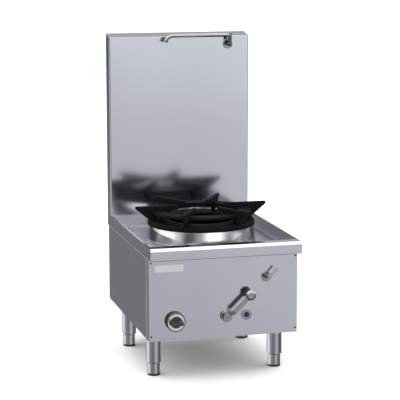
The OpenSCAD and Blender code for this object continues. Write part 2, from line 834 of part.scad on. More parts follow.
// Plan of the splashback with rounded front edges, drawn in by a distance
module splash_plan(inset) {
  r = splash_edge_r - inset;
  c = width / 2 - splash_edge_r;
  for (x = [-c, c]) translate([x, splash_y + splash_edge_r]) circle(r);
  translate([-c, splash_y + inset]) square([2 * c, splash_t]);
  translate([-width / 2 + inset, splash_y + splash_edge_r])
    square([width - 2 * inset, splash_t - splash_edge_r + (inset > 0 ? eps : 0)]);
}

// Side section of the splashback with its sloping top, drawn in by a distance
module splash_section(inset) {
  polygon([[splash_y - eps, hob_z - (inset > 0 ? eps : 0)],
    [back_y + (inset > 0 ? 2 * eps : 0), hob_z - (inset > 0 ? eps : 0)],
    [back_y + (inset > 0 ? 2 * eps : 0), height - inset],
    [back_y, height - inset],
    [splash_y, height - splash_slope - inset],
    [splash_y - eps, height - splash_slope - inset]]);
}

module splash_front() {
  color(steel) difference() {
    intersection() {
      translate([0, 0, hob_z]) linear_extrude(height - hob_z) intersection() {
        splash_plan(0);
        translate([-width / 2, splash_y]) square([width, splash_t]);
      }
      along_x(width) splash_section(0);
    }
    intersection() {
      translate([0, 0, hob_z - eps]) linear_extrude(height - hob_z) splash_plan(splash_sheet);
      along_x(width) splash_section(splash_sheet);
    }
    bar_y(spout_at_x, spout_z, splash_y - eps, splash_y + 2 * splash_sheet, shank_r + hole_gap);
  }
}

module splash_back() {
  in_x = width / 2 - splash_sheet;
  face_y = back_y - 1;
  color(dark_steel) {
    span(-in_x, in_x, face_y - splash_sheet, face_y, hob_z, height - 3 * splash_sheet);
    span(-in_x, in_x, face_y - cover_flange_w, face_y, hob_z, hob_z + splash_sheet);
    span(-in_x, in_x, face_y - cover_flange_w, face_y, height - splash_slope - 3 * splash_sheet,
      height - splash_slope - 2 * splash_sheet);
    for (s = [-1, 1])
      span(min(s * in_x, s * (in_x - splash_sheet)), max(s * in_x, s * (in_x - splash_sheet)),
        face_y - cover_flange_w, face_y, hob_z, height - splash_slope - 2 * splash_sheet);
  }
}

// One panel screw at the origin, its head towards -Y
module screw() {
  bar_y(0, 0, 0, panel_sheet + chassis_t + 2, screw_r);
  difference() {
    bar_y(0, 0, -1.8, 0, screw_head_r);
    span(-screw_head_r, screw_head_r, -2.5, -1, -0.4, 0.4);
  }
}

module panel_screws() {
  color(black) {
    for (p = SCREW_AT) translate([p[0], panel_y, p[1]]) screw();
    for (p = REAR_SCREW_AT) translate([p[0], rear_panel_y, p[1]]) rotate([0, 0, 180]) screw();
  }
}

module badge_plate() {
  x = -side_x + plate_in_x;
  z = hob_z - plate_down;
  color(bright_steel)
    span(x - plate_size[0] / 2, x + plate_size[0] / 2, panel_y - plate_t, panel_y,
      z - plate_size[1] / 2, z + plate_size[1] / 2);
}

// Leg tube with its cap and stud at the top and the bush that guides the foot
module leg(p) {
  r = leg_d / 2;
  bush_r = foot_d / 2 + fit;
  color(chrome) translate([p[0], p[1], 0]) {
    rotate_extrude() polygon([[bush_r, leg_end_z], [r - leg_chamfer, leg_end_z],
      [r, leg_end_z + leg_chamfer], [r, body_z], [0, body_z], [0, body_z - leg_cap_t],
      [r - leg_wall, body_z - leg_cap_t], [r - leg_wall, leg_end_z + leg_bush_h],
      [bush_r, leg_end_z + leg_bush_h]]);
    post(0, 0, body_z - eps, body_z + stud_len, stud_d / 2);
  }
}

module leg_front_left() {
  leg(LEG_AT[0]);
}

module leg_front_right() {
  leg(LEG_AT[1]);
}

module leg_rear_left() {
  leg(LEG_AT[2]);
}

module leg_rear_right() {
  leg(LEG_AT[3]);
}

// Adjustable foot: a closed tube that slides in the leg
module foot(p) {
  r = foot_d / 2;
  wall = 3;
  color(chrome) translate([p[0], p[1], 0])
    rotate_extrude() polygon([[0, pad_h], [r, pad_h], [r, leg_end_z + foot_grip],
      [r - wall, leg_end_z + foot_grip], [r - wall, pad_h + wall], [0, pad_h + wall]]);
}

module foot_front_left() {
  foot(LEG_AT[0]);
}

module foot_front_right() {
  foot(LEG_AT[1]);
}

module foot_rear_left() {
  foot(LEG_AT[2]);
}

module foot_rear_right() {
  foot(LEG_AT[3]);
}

// Black pad under a foot
module pad(p) {
  r = foot_d / 2;
  edge = 1.5;
  color(black) translate([p[0], p[1], 0])
    rotate_extrude() polygon([[0, 0], [r - edge, 0], [r, edge], [r, pad_h], [0, pad_h]]);
}

module pad_front_left() {
  pad(LEG_AT[0]);
}

module pad_front_right() {
  pad(LEG_AT[1]);
}

module pad_rear_left() {
  pad(LEG_AT[2]);
}

module pad_rear_right() {
  pad(LEG_AT[3]);
}

module chimney_ring() {
  roll = 2;
  color(bright_steel) translate([0, burner_y, 0])
    rotate_extrude($fn = 144) polygon([[ring_foot_r - ring_t, ring_foot_z], [ring_foot_r, ring_foot_z],
      [ring_top_r, ring_top_z - roll], [ring_top_r - roll / 2, ring_top_z],
      [ring_top_r - ring_flange_w, ring_top_z], [ring_top_r - ring_flange_w, ring_top_z - ring_t],
      [ring_top_r - ring_t, ring_top_z - ring_t]]);
}

// Points of a quarter round from the top to the side
function quarter(cx, cz, r, n) = [for (i = [0 : n]) [cx + r * sin(90 * i / n), cz + r * cos(90 * i / n)]];

module trivet_base() {
  foot_in_r = ring_top_r - ring_flange_w + 2;
  lip_in_r = base_r - base_lip_t;
  under_z = base_top_z - base_t;
  color(iron) translate([0, burner_y, 0])
    rotate_extrude($fn = 144) polygon(concat([[base_bore_r, under_z], [base_bore_r, base_top_z]],
      quarter(base_r - shoulder_r, base_top_z - shoulder_r, shoulder_r, 6),
      [[base_r, ring_top_z - base_lip_h], [lip_in_r, ring_top_z - base_lip_h],
        [lip_in_r, ring_top_z], [foot_in_r, ring_top_z], [foot_in_r, under_z]]));
}

module pot_support() {
  foot_z = base_top_z + rest_gap;
  color(iron) translate([0, burner_y, 0]) {
    difference() {
      post(0, 0, support_z, support_top_z, support_r, $fn = 144);
      post(0, 0, support_z - eps, support_top_z + eps, support_bore_r, $fn = 144);
    }
    for (i = [0 : fin_count - 1]) rotate([0, 0, i * 360 / fin_count]) rotate([90, 0, 0])
      linear_extrude(fin_t, center = true) polygon([[fin_in_r, fin_top_z], [fin_out_r, fin_top_z],
        [fin_out_r, fin_top_z - fin_tip_h], [fin_foot_r[1], foot_z], [fin_foot_r[0], foot_z],
        [fin_foot_r[0] - 8, support_z + support_t / 2], [support_bore_r, support_z + support_t / 2],
        [fin_in_r, support_top_z + 4]]);
  }
}

// Bearing of the pilot parts seen from the burner's axis
function pilot_dir(k) = pilot_angle + k * pilot_step;
function pilot_at(k) = [pilot_at_r * cos(pilot_dir(k)), burner_y + pilot_at_r * sin(pilot_dir(k))];

// Shanks of the pilot parts below the shelf
shank_radii = [couple_lead_r, pilot_tube_r, lead_r];

module chamber_liner() {
  color(steel) difference() {
    union() {
      difference() {
        union() {
          post(0, burner_y, liner_foot_z, liner_seat_z + liner_up, liner_r);
          post(0, burner_y, liner_seat_z, liner_seat_z + liner_t, liner_r + liner_flange_w);
        }
        post(0, burner_y, liner_foot_z - eps, liner_seat_z + liner_up + eps, liner_r - liner_t);
      }
      intersection() {
        translate([0, burner_y, shelf_z - liner_t]) rotate([0, 0, pilot_angle])
          translate([pilot_at_r - 12, -shelf_w / 2, 0]) cube([liner_r, shelf_w, liner_t]);
        post(0, burner_y, shelf_z - 2 * liner_t, shelf_z + eps, liner_r - liner_t / 2);
      }
    }
    for (k = [-1, 0, 1]) post(pilot_at(k)[0], pilot_at(k)[1], shelf_z - 2 * liner_t, shelf_z + eps,
      shank_radii[k + 1] + hole_gap);
  }
}

module burner_head() {
  ring_in_r = head_r - head_ring_w;
  inner_in_r = head_inner_r - head_ring_w;
  base_z = head_z + head_base_t;
  color(iron) translate([0, burner_y, 0]) difference() {
    rotate_extrude($fn = 96) polygon([[0, head_z], [head_r, head_z], [head_r, head_top_z],
      [ring_in_r, head_top_z], [ring_in_r, base_z], [head_inner_r, base_z],
      [head_inner_r, head_top_z], [inner_in_r, head_top_z], [inner_in_r, base_z], [0, base_z]]);
    rotate_extrude($fn = 96) polygon([[0, head_z + head_wall], [head_r - head_wall, head_z + head_wall],
      [head_r - head_wall, head_top_z - head_wall], [ring_in_r + head_wall, head_top_z - head_wall],
      [ring_in_r + head_wall, base_z - head_wall], [head_inner_r - head_wall, base_z - head_wall],
      [head_inner_r - head_wall, head_top_z - head_wall], [inner_in_r + head_wall, head_top_z - head_wall],
      [inner_in_r + head_wall, base_z - head_wall], [0, base_z - head_wall]]);
    post(0, 0, head_z - eps, head_z + head_wall + eps, venturi_r - venturi_wall);
    for (i = [0 : outer_ports - 1]) rotate([0, 0, (i + 0.5) * 360 / outer_ports])
      post(head_r - head_ring_w / 2, 0, head_top_z - 2 * head_wall, head_top_z + eps, port_r, $fn = 24);
    for (i = [0 : inner_ports - 1]) rotate([0, 0, i * 360 / inner_ports])
      post(head_inner_r - head_ring_w / 2, 0, head_top_z - 2 * head_wall, head_top_z + eps, port_r,
        $fn = 24);
  }
  color(iron) translate([0, burner_y, 0]) difference() {
    post(0, 0, neck_z, head_z + head_wall / 2, neck_r);
    post(0, 0, neck_z - eps, head_z + head_wall, venturi_r - venturi_wall);
  }
}

module burner_bracket() {
  hook = 20;
  color(dark_steel) difference() {
    union() {
      span(-bracket_x, bracket_x, burner_y - bracket_w / 2, burner_y + bracket_w / 2,
        head_z - bracket_t, head_z);
      for (s = [-1, 1]) {
        span(min(s * bracket_x, s * (bracket_x - bracket_t)),
          max(s * bracket_x, s * (bracket_x - bracket_t)), burner_y - bracket_w / 2,
          burner_y + bracket_w / 2, head_z - bracket_t, seat_under_z);
        span(min(s * (bracket_x + hook), s * (bracket_x - bracket_t)),
          max(s * (bracket_x + hook), s * (bracket_x - bracket_t)),
          burner_y - bracket_w / 2, burner_y + bracket_w / 2, seat_under_z - bracket_t, seat_under_z);
      }
    }
    post(0, burner_y, head_z - 2 * bracket_t, head_z + eps, neck_r + hole_gap);
  }
}

module venturi_tube() {
  bore_r = venturi_r - venturi_wall;
  color(iron) difference() {
    union() {
      post(0, burner_y, venturi_z, neck_z, venturi_r);
      bar_y(0, venturi_z, mouth_y, burner_y, venturi_r);
      translate([0, burner_y, venturi_z]) sphere(r = venturi_r + 1.5);
    }
    post(0, burner_y, venturi_z, neck_z + eps, bore_r);
    bar_y(0, venturi_z, mouth_y - eps, burner_y, bore_r);
    translate([0, burner_y, venturi_z]) sphere(r = bore_r + 0.8);
  }
}

module air_shutter() {
  in_r = venturi_r + fit;
  color(steel) difference() {
    bar_y(0, venturi_z, shutter_y, shutter_y + shutter_len, in_r + shutter_wall);
    bar_y(0, venturi_z, shutter_y - eps, shutter_y + shutter_len + eps, in_r);
    for (a = [45, 135]) translate([0, shutter_y + shutter_len / 2, venturi_z]) rotate([0, a, 0])
      cube([2 * venturi_r + 20, shutter_len / 2, 10], center = true);
  }
}

module injector() {
  color(brass) difference() {
    union() {
      translate([0, injector_end_y, venturi_z]) rotate([-90, 0, 0])
        cylinder(h = injector_hex_len, r = injector_r, $fn = 6);
      bar_y(0, venturi_z, injector_end_y + injector_hex_len - eps, injector_nose_y, injector_r * 0.6);
    }
    bar_y(0, venturi_z, injector_end_y - eps, injector_nose_y - 3, feed_r - 2 * pipe_wall);
    bar_y(0, venturi_z, injector_nose_y - 4, injector_nose_y + eps, injector_bore_r);
  }
}

module feed_pipe() {
  rise_z = flow_top_z + boss_h;
  color(copper) pipe([[crank_x, flow_mid_y, rise_z], [crank_x, flow_mid_y, rise_z + 60],
    [0, flow_mid_y, venturi_z], [0, injector_end_y, venturi_z]], feed_r, pipe_wall);
}

module pilot_burner() {
  p = pilot_at(0);
  color(brass) difference() {
    union() {
      post(p[0], p[1], shelf_z, shelf_z + pilot_h, pilot_r);
      post(p[0], p[1], shelf_z + pilot_h - eps, shelf_z + pilot_h + 5, pilot_r + 2);
    }
    post(p[0], p[1], shelf_z - eps, shelf_z + pilot_h - 4, pilot_tube_r - 1);
    post(p[0], p[1], shelf_z + pilot_h - 8, shelf_z + pilot_h + 6, 1);
    for (a = [0 : 60 : 300]) translate([p[0], p[1], shelf_z + pilot_h + 2]) rotate([0, 0, a])
      translate([pilot_r, 0, 0]) rotate([0, 90, 0]) cylinder(h = 4, r = 0.8, $fn = 24);
  }
}

module pilot_tube() {
  p = pilot_at(0);
  x = knob_at_x + 8;
  y = valve_y + 40;
  color(copper) run([[p[0], p[1], shelf_z], [p[0], p[1], shelf_z - 50], [p[0], y, shelf_z - 60],
    [x, y, valve_top_z + 60], [x, y, valve_top_z]], pilot_tube_r);
}

module thermocouple() {
  p = pilot_at(-1);
  x = knob_at_x - 9;
  y = valve_y + 22;
  color(copper) {
    post(p[0], p[1], shelf_z, shelf_z + couple_h, couple_r);
    run([[p[0], p[1], shelf_z], [p[0], p[1], shelf_z - 38], [p[0], y, shelf_z - 46],
      [x, y, valve_top_z + 60], [x, y, valve_top_z]], couple_lead_r);
  }
}

module electrode() {
  p = pilot_at(1);
  color(ceramic) {
    post(p[0], p[1], shelf_z, shelf_z + electrode_h, electrode_r);
    post(p[0], p[1], shelf_z + electrode_h - eps, shelf_z + electrode_h + 10, spark_r);
  }
}

module ignition_lead() {
  p = pilot_at(1);
  y = igniter_end_y + 22;
  z = shelf_z - 26;
  color(black) run([[p[0], p[1], shelf_z], [p[0], p[1], z], [p[0], y, z], [button_x, y, z],
    [button_x, y, button_z], [button_x, igniter_end_y, button_z]], lead_r);
}

module igniter_body() {
  color(black) {
    bar_y(button_x, button_z, barrel_end_y, igniter_end_y - 8, igniter_r);
    bar_y(button_x, button_z, igniter_end_y - 8 - eps, igniter_end_y, igniter_r * 0.6);
  }
}

module button_bezel() {
  color(chrome) difference() {
    union() {
      bar_y(button_x, button_z, panel_y - bezel_t, panel_y, bezel_r);
      bar_y(button_x, button_z, panel_y - eps, barrel_end_y, barrel_r);
    }
    bar_y(button_x, button_z, panel_y - bezel_t - eps, barrel_end_y + eps, bezel_bore_r);
  }
}

module push_button() {
  collar_y = barrel_end_y - button_push - gap;
  color(blue) {
    bar_y(button_x, button_z, panel_y - bezel_t - button_out, collar_y, button_r);
    bar_y(button_x, button_z, collar_y - 5, collar_y, bezel_bore_r - fit);
  }
}

// Inlet at the back: a flange inside the panel, a collar outside it, a relief, then the thread
module inlet(x, z, flange, thread) {
  flange_y = rear_panel_y - panel_sheet;
  bar_y(x, z, flange_y - 8, flange_y, flange);
  bar_y(x, z, flange_y - eps, collar_end_y + 2 * thread_relief, thread - thread_relief / 2);
  bar_y(x, z, rear_panel_y, collar_end_y, thread + inlet_collar_w);
  bar_y(x, z, collar_end_y + thread_relief, inlet_end_y, thread);
}

// Valve neck that passes through the front panel
module neck(x, z, out) {
  bar_y(x, z, panel_y - out, valve_y + eps, valve_neck_r);
}

module gas_valve() {
  w = valve_size[0];
  h = valve_size[1];
  color(brass) difference() {
    union() {
      span(knob_at_x - w / 2, knob_at_x + w / 2, valve_y, valve_end_y, knob_z - h / 2, knob_z + h / 2);
      neck(knob_at_x, knob_z, 0.6);
      bar_y(knob_at_x, knob_z, valve_end_y - eps, valve_end_y + boss_h, gas_r + 3);
      translate([knob_at_x + w / 2 - eps, flow_mid_y, knob_z]) rotate([0, 90, 0])
        cylinder(h = boss_h + eps, r = boss_r);
    }
    bar_y(knob_at_x, knob_z, panel_y - 5, spindle_root_y + knob_push + gap, spindle_r + fit);
  }
}

module valve_spindle() {
  color(steel) bar_y(knob_at_x, knob_z, spindle_end_y, spindle_root_y, spindle_r);
}

module knob() {
  face_y = panel_y - knob_face;
  rear_y = panel_y - knob_gap;
  cup = 3;
  boss_end_y = rear_y - 1;
  edge = 2;
  color(black) difference() {
    union() {
      difference() {
        translate([knob_at_x, 0, knob_z]) rotate([90, 0, 0]) rotate_extrude(convexity = 4)
          polygon([[0, -rear_y], [knob_r, -rear_y], [knob_r, -face_y - edge],
            [knob_r - edge, -face_y], [0, -face_y]]);
        bar_y(knob_at_x, knob_z, face_y + cup, rear_y + eps, knob_r - cup);
      }
      bar_y(knob_at_x, knob_z, face_y, boss_end_y, spindle_r + 6);
      bar_y(knob_at_x, knob_z, face_y - hub_h, face_y + eps, hub_r);
      intersection() {
        translate([knob_at_x, face_y, knob_z]) rotate([90, 0, 0])
          cylinder(h = grip_h, r1 = grip_len[0] / 2, r2 = grip_len[1] / 2);
        span(knob_at_x - knob_r, knob_at_x + knob_r, face_y - grip_h - eps, face_y + eps,
          knob_z - grip_t / 2, knob_z + grip_t / 2);
      }
    }
    bar_y(knob_at_x, knob_z, spindle_end_y - gap, rear_y + eps, spindle_r + fit);
    difference() {
      bar_y(knob_at_x, knob_z, face_y - eps, face_y + dial_t, dial_r[0]);
      bar_y(knob_at_x, knob_z, face_y - 2 * eps, face_y + dial_t + eps, dial_r[1]);
      span(knob_at_x - grip_len[0] / 2, knob_at_x + grip_len[0] / 2, face_y - 3 * eps, face_y + 3 * eps,
        knob_z - grip_t / 2, knob_z + grip_t / 2);
    }
  }
}

module knob_dial() {
  face_y = panel_y - knob_face;
  color(bright_steel) difference() {
    bar_y(knob_at_x, knob_z, face_y - 0.3, face_y + dial_t, dial_r[0] - hole_gap);
    bar_y(knob_at_x, knob_z, face_y - 2 * eps, face_y + dial_t + eps, dial_r[1] + hole_gap);
    span(knob_at_x - grip_len[0] / 2 - hole_gap, knob_at_x + grip_len[0] / 2 + hole_gap, face_y - 3 * eps,
      face_y + 3 * eps, knob_z - grip_t / 2 - hole_gap, knob_z + grip_t / 2 + hole_gap);
  }
}

module flow_valve() {
  h = flow_size / 2;
  color(brass) difference() {
    union() {
      span(crank_x - h, crank_x + h, valve_y, flow_end_y, crank_z - h, crank_z + h);
      neck(crank_x, crank_z, washer_t - 2);
      post(crank_x, flow_mid_y, crank_z + h - eps, flow_top_z + boss_h, boss_r);
      translate([crank_x - h - boss_h, flow_mid_y, crank_z]) rotate([0, 90, 0])
        cylinder(h = boss_h + eps, r = boss_r);
    }
    bar_y(crank_x, crank_z, panel_y - washer_t - eps, valve_y + 26, crank_pin_r + fit);
  }
}

module link_pipe() {
  a = [knob_at_x + valve_size[0] / 2 + boss_h, flow_mid_y, knob_z];
  b = [crank_x - flow_size / 2 - boss_h, flow_mid_y, crank_z];
  color(copper) pipe([a, a + [40, 0, 0], b - [40, 0, 0], b], feed_r, pipe_wall);
}

module gas_pipe() {
  flange_y = rear_panel_y - panel_sheet;
  bend_y = flange_y - gas_straight;
  color(copper) difference() {
    union() {
      run([[knob_at_x, valve_end_y + boss_h, knob_z], [knob_at_x, valve_end_y + 60, knob_z],
        [gas_inlet_at_x, bend_y, gas_inlet_z], [gas_inlet_at_x, flange_y - 4, gas_inlet_z]], gas_r);
      inlet(gas_inlet_at_x, gas_inlet_z, inlet_flange_r, gas_thread_r);
    }
    run(drawn_out([[knob_at_x, valve_end_y + boss_h, knob_z], [knob_at_x, valve_end_y + 60, knob_z],
      [gas_inlet_at_x, bend_y, gas_inlet_z], [gas_inlet_at_x, inlet_end_y, gas_inlet_z]]),
      gas_r - 2 * pipe_wall);
  }
}

module crank_washer() {
  edge = 1;
  color(chrome) difference() {
    translate([crank_x, 0, crank_z]) rotate([90, 0, 0]) rotate_extrude()
      polygon([[valve_neck_r + hole_gap, -panel_y], [washer_r, -panel_y],
        [washer_r, -panel_y + washer_t - edge], [washer_r - edge, -panel_y + washer_t],
        [crank_pin_r + 1, -panel_y + washer_t], [crank_pin_r + 1, -panel_y + washer_t - 1.5],
        [valve_neck_r + hole_gap, -panel_y + washer_t - 1.5]]);
  }
}

// Places children in the frame of a lever: X along it, Y across it, Z out of the panel
module lever_frame(x, z, angle) {
  translate([x, panel_y, z]) rotate([0, -angle, 0]) rotate([90, 0, 0]) children();
}

module crank_arm() {
  hub_in = washer_t + gap;
  hub_out = hub_in + crank_hub_t;
  arm_end = crank_len - cap_r * cos(22.5);
  color(chrome) lever_frame(crank_x, crank_z, crank_angle) difference() {
    union() {
      translate([0, 0, hub_in]) cylinder(h = crank_hub_t, r = crank_hub_r);
      translate([0, 0, -(valve_y + 24 - panel_y)])
        cylinder(h = valve_y + 24 - panel_y + hub_in + eps, r = crank_pin_r);
      rotate([90, 0, 0]) linear_extrude(arm_w, center = true) polygon([[crank_hub_r / 2, hub_in + 1],
        [jog_at[0] + arm_t / 2, hub_in + 1], [jog_at[1], arm_out], [arm_end, arm_out],
        [arm_end, arm_out + arm_t], [jog_at[1] - arm_t / 2, arm_out + arm_t],
        [jog_at[0], hub_out], [crank_hub_r / 2, hub_out]]);
    }
    translate([0, 0, hub_out - 3]) cylinder(h = 4, r = 3);
  }
}

module crank_cap() {
  out = arm_out + arm_t / 2 - cap_t / 2;
  color(chrome) lever_frame(crank_x, crank_z, crank_angle) translate([crank_len, 0, out])
    rotate([0, 0, 22.5]) {
      cylinder(h = cap_t - cap_bevel, r = cap_r, $fn = 8);
      translate([0, 0, cap_t - cap_bevel]) cylinder(h = cap_bevel, r1 = cap_r, r2 = cap_face_r, $fn = 8);
    }
}

module water_valve() {
  color(brass) difference() {
    union() {
      bar_y(tap_at_x, tap_z, valve_y, water_valve_end_y, water_valve_r);
      neck(tap_at_x, tap_z, escutcheon_t - 0.5);
      bar_y(tap_at_x, tap_z, water_valve_end_y - eps, water_valve_end_y + boss_h, boss_r);
      translate([tap_at_x, valve_y + water_valve_len / 2, tap_z - water_valve_r - boss_h])
        cylinder(h = boss_h + water_valve_r, r = boss_r);
    }
    bar_y(tap_at_x, tap_z, panel_y - escutcheon_t - eps, valve_y + 20, tap_pin_r + fit);
  }
}

module tap_escutcheon() {
  edge = 1;
  color(chrome) translate([tap_at_x, 0, tap_z]) rotate([90, 0, 0]) rotate_extrude()
    polygon([[valve_neck_r + hole_gap, -panel_y], [escutcheon_r, -panel_y],
      [escutcheon_r, -panel_y + escutcheon_t - edge], [escutcheon_r - edge, -panel_y + escutcheon_t],
      [valve_neck_r + hole_gap, -panel_y + escutcheon_t]]);
}

module tap_lever() {
  hub_in = escutcheon_t + gap;
  root = valve_y + 18 - panel_y;
  color(chrome) lever_frame(tap_at_x, tap_z, rod_angle) {
    translate([0, 0, -root]) cylinder(h = root + hub_in + eps, r = tap_pin_r);
    translate([0, 0, hub_in]) cylinder(h = 4, r = valve_neck_r);
    translate([0, 0, hub_in + 3]) cylinder(h = tap_hub_out - hub_in - 3, r = tap_hub_r);
    translate([0, 0, rod_out]) rotate([0, 90, 0]) cylinder(h = rod_len, r = rod_r);
    translate([rod_len, 0, rod_out]) sphere(r = rod_r * 1.1);
  }
}

module water_feed_pipe() {
  flange_y = rear_panel_y - panel_sheet;
  y = valve_y + water_valve_len / 2;
  pts = [[tap_at_x, y, tap_z - water_valve_r - boss_h], [tap_at_x, y, water_inlet_z],
    [water_inlet_at_x, y + water_cross, water_inlet_z], [water_inlet_at_x, flange_y - 4, water_inlet_z]];
  color(copper) difference() {
    union() {
      run(pts, water_r);
      inlet(water_inlet_at_x, water_inlet_z, inlet_flange_r - 4, water_thread_r);
    }
    run(drawn_out([pts[0], pts[1], pts[2], [water_inlet_at_x, inlet_end_y, water_inlet_z]]),
      water_r - pipe_wall);
  }
}

module water_riser_pipe() {
  color(copper) pipe([[tap_at_x, water_valve_end_y + boss_h, tap_z], [tap_at_x, splash_y - 40, tap_z],
    [spout_at_x, spout_pipe_y, tap_z + 50], [spout_at_x, spout_pipe_y, spout_z],
    [spout_at_x, splash_y + shank_len, spout_z]], water_r, pipe_wall);
}

module spout_flange() {
  edge = 1.5;
  color(chrome) translate([spout_at_x, 0, spout_z]) rotate([90, 0, 0]) rotate_extrude()
    polygon([[water_r - pipe_wall, -splash_y - shank_len], [shank_r, -splash_y - shank_len],
      [shank_r, -splash_y], [flange_r, -splash_y], [flange_r, -splash_y + flange_t - edge],
      [flange_r - edge, -splash_y + flange_t], [water_r - pipe_wall, -splash_y + flange_t]]);
}

module spout_elbow() {
  bore_r = riser_r - 2;
  tip_r = spigot_r - 1.5;
  color(chrome) difference() {
    union() {
      bar_y(spout_at_x, spout_z, riser_y, splash_y - flange_t, riser_r);
      translate([spout_at_x, riser_y, spout_z]) sphere(r = ball_r);
      post(spout_at_x, riser_y, spout_z, nut_z + eps, riser_r);
      post(spout_at_x, riser_y, nut_z, nut_z + nut_h, riser_r + 0.8);
      post(spout_at_x, riser_y, nut_z, hub_top_z - 3, spigot_r);
    }
    bar_y(spout_at_x, spout_z, riser_y, splash_y, bore_r);
    post(spout_at_x, riser_y, spout_z, tube_z + 2, tip_r);
    translate([spout_at_x - 2 * tube_r, riser_y, tube_z]) rotate([0, 90, 0])
      cylinder(h = 2 * tube_r, r = tip_r - 0.5);
  }
}

module spout_tube() {
  bore_r = tube_r - tube_wall;
  end_x = spout_at_x - tube_len;
  color(chrome) difference() {
    union() {
      post(spout_at_x, riser_y, hub_z, hub_top_z, tube_hub_r);
      translate([end_x, riser_y, tube_z]) rotate([0, 90, 0]) cylinder(h = tube_len, r = tube_r);
      translate([end_x, riser_y, tube_z - bend_r]) rotate([90, 0, 0])
        rotate([0, 0, 90]) rotate_extrude(angle = bend_turn) translate([bend_r, 0]) circle(tube_r);
      translate([end_x, riser_y, tube_z - bend_r]) rotate([0, -bend_turn, 0])
        translate([-nozzle_len, 0, bend_r]) rotate([0, 90, 0])
        cylinder(h = nozzle_len + 2, r = tube_r + 0.7);
    }
    post(spout_at_x, riser_y, hub_z - eps, hub_top_z - 2, spigot_r + fit);
    translate([end_x, riser_y, tube_z]) rotate([0, 90, 0])
      cylinder(h = tube_len - spigot_r + 1, r = bore_r);
    translate([end_x, riser_y, tube_z - bend_r]) rotate([90, 0, 0])
      rotate([0, 0, 90]) rotate_extrude(angle = bend_turn) translate([bend_r, 0]) circle(bore_r);
    translate([end_x, riser_y, tube_z - bend_r]) rotate([0, -bend_turn, 0])
      translate([-nozzle_len - eps, 0, bend_r]) rotate([0, 90, 0])
      cylinder(h = nozzle_len + eps, r = bore_r);
  }
}

hob_top();
deck_pan();
front_panel();
left_side_panel();
right_side_panel();
back_panel();
base_pan();
chassis_frame();
splash_front();
splash_back();
panel_screws();
badge_plate();
leg_front_left();
leg_front_right();
leg_rear_left();
leg_rear_right();
foot_front_left();
foot_front_right();
foot_rear_left();
foot_rear_right();
pad_front_left();
pad_front_right();
pad_rear_left();
pad_rear_right();
chimney_ring();
trivet_base();
pot_support();
chamber_liner();
burner_head();
burner_bracket();
venturi_tube();
air_shutter();
injector();
feed_pipe();
pilot_burner();
pilot_tube();
thermocouple();
electrode();
ignition_lead();
igniter_body();
button_bezel();
push_button();
gas_valve();
valve_spindle();
knob();
knob_dial();
flow_valve();
link_pipe();
gas_pipe();
crank_washer();
crank_arm();
crank_cap();
water_valve();
tap_escutcheon();
tap_lever();
water_feed_pipe();
water_riser_pipe();
spout_flange();
spout_elbow();
spout_tube();
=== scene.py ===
"""Waterless stock pot boiler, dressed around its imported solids.

Metres; +X to the cook's right, +Y to the back, +Z up, the origin on the floor.
"""

import json
import math

import bmesh
import bpy
from bpy.props import FloatProperty, FloatVectorProperty, PointerProperty
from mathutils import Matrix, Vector


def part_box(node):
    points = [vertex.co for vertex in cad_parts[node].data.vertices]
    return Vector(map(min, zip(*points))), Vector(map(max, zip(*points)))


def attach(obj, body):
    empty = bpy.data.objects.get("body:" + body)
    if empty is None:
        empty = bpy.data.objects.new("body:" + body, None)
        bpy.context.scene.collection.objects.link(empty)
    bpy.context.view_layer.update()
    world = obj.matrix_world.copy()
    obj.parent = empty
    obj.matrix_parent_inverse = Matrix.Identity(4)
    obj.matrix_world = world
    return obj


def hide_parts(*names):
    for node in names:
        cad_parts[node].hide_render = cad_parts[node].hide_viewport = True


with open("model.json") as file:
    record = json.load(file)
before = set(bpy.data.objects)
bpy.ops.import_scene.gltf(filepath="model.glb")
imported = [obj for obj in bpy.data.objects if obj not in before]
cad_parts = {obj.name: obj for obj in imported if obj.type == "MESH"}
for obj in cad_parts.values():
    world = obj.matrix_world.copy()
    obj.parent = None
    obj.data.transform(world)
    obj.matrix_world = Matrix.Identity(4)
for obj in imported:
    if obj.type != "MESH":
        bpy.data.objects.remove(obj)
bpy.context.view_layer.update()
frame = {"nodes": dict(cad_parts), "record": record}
NODES = frame["nodes"]
BODY_OF = {n: b for b, ns in frame["record"]["behaviour"]["bodies"].items() for n in ns}

bl_info = {
    "name": "Stock pot boiler",
    "version": (1, 0, 0),
    "blender": (4, 5, 0),
    "location": "3D View > Sidebar > Boiler",
    "description": "Dresses the stock pot boiler's solids with real edges, fittings and finishes",
    "category": "Object",
}

MM = 0.001


# Settings that the sidebar panel shows.

def number(name, text, default, low, high, unit="NONE", subtype="NONE"):
    return FloatProperty(name=name, description=text, default=default, min=low, max=high,
                         unit=unit, subtype=subtype, precision=4)


def length(name, text, default_mm, low_mm, high_mm):
    return number(name, text, default_mm * MM, low_mm * MM, high_mm * MM, unit="LENGTH")


def colour(name, text, default):
    return FloatVectorProperty(name=name, description=text, default=default, size=3,
                               min=0, max=1, subtype="COLOR")


class BoilerEdges(bpy.types.PropertyGroup):
    fold: length("Sheet fold", "Rounding of the bent sheet edges", 0.9, 0.2, 0.95)
    cast: length("Casting edge", "Rounding of the cast iron edges", 2.2, 0.5, 3)
    turned: length("Turned edge", "Rounding of the turned fittings", 0.8, 0.2, 1.5)
    leg: length("Leg edge", "Rounding of the leg tubes' ends", 0.5, 0.2, 1)


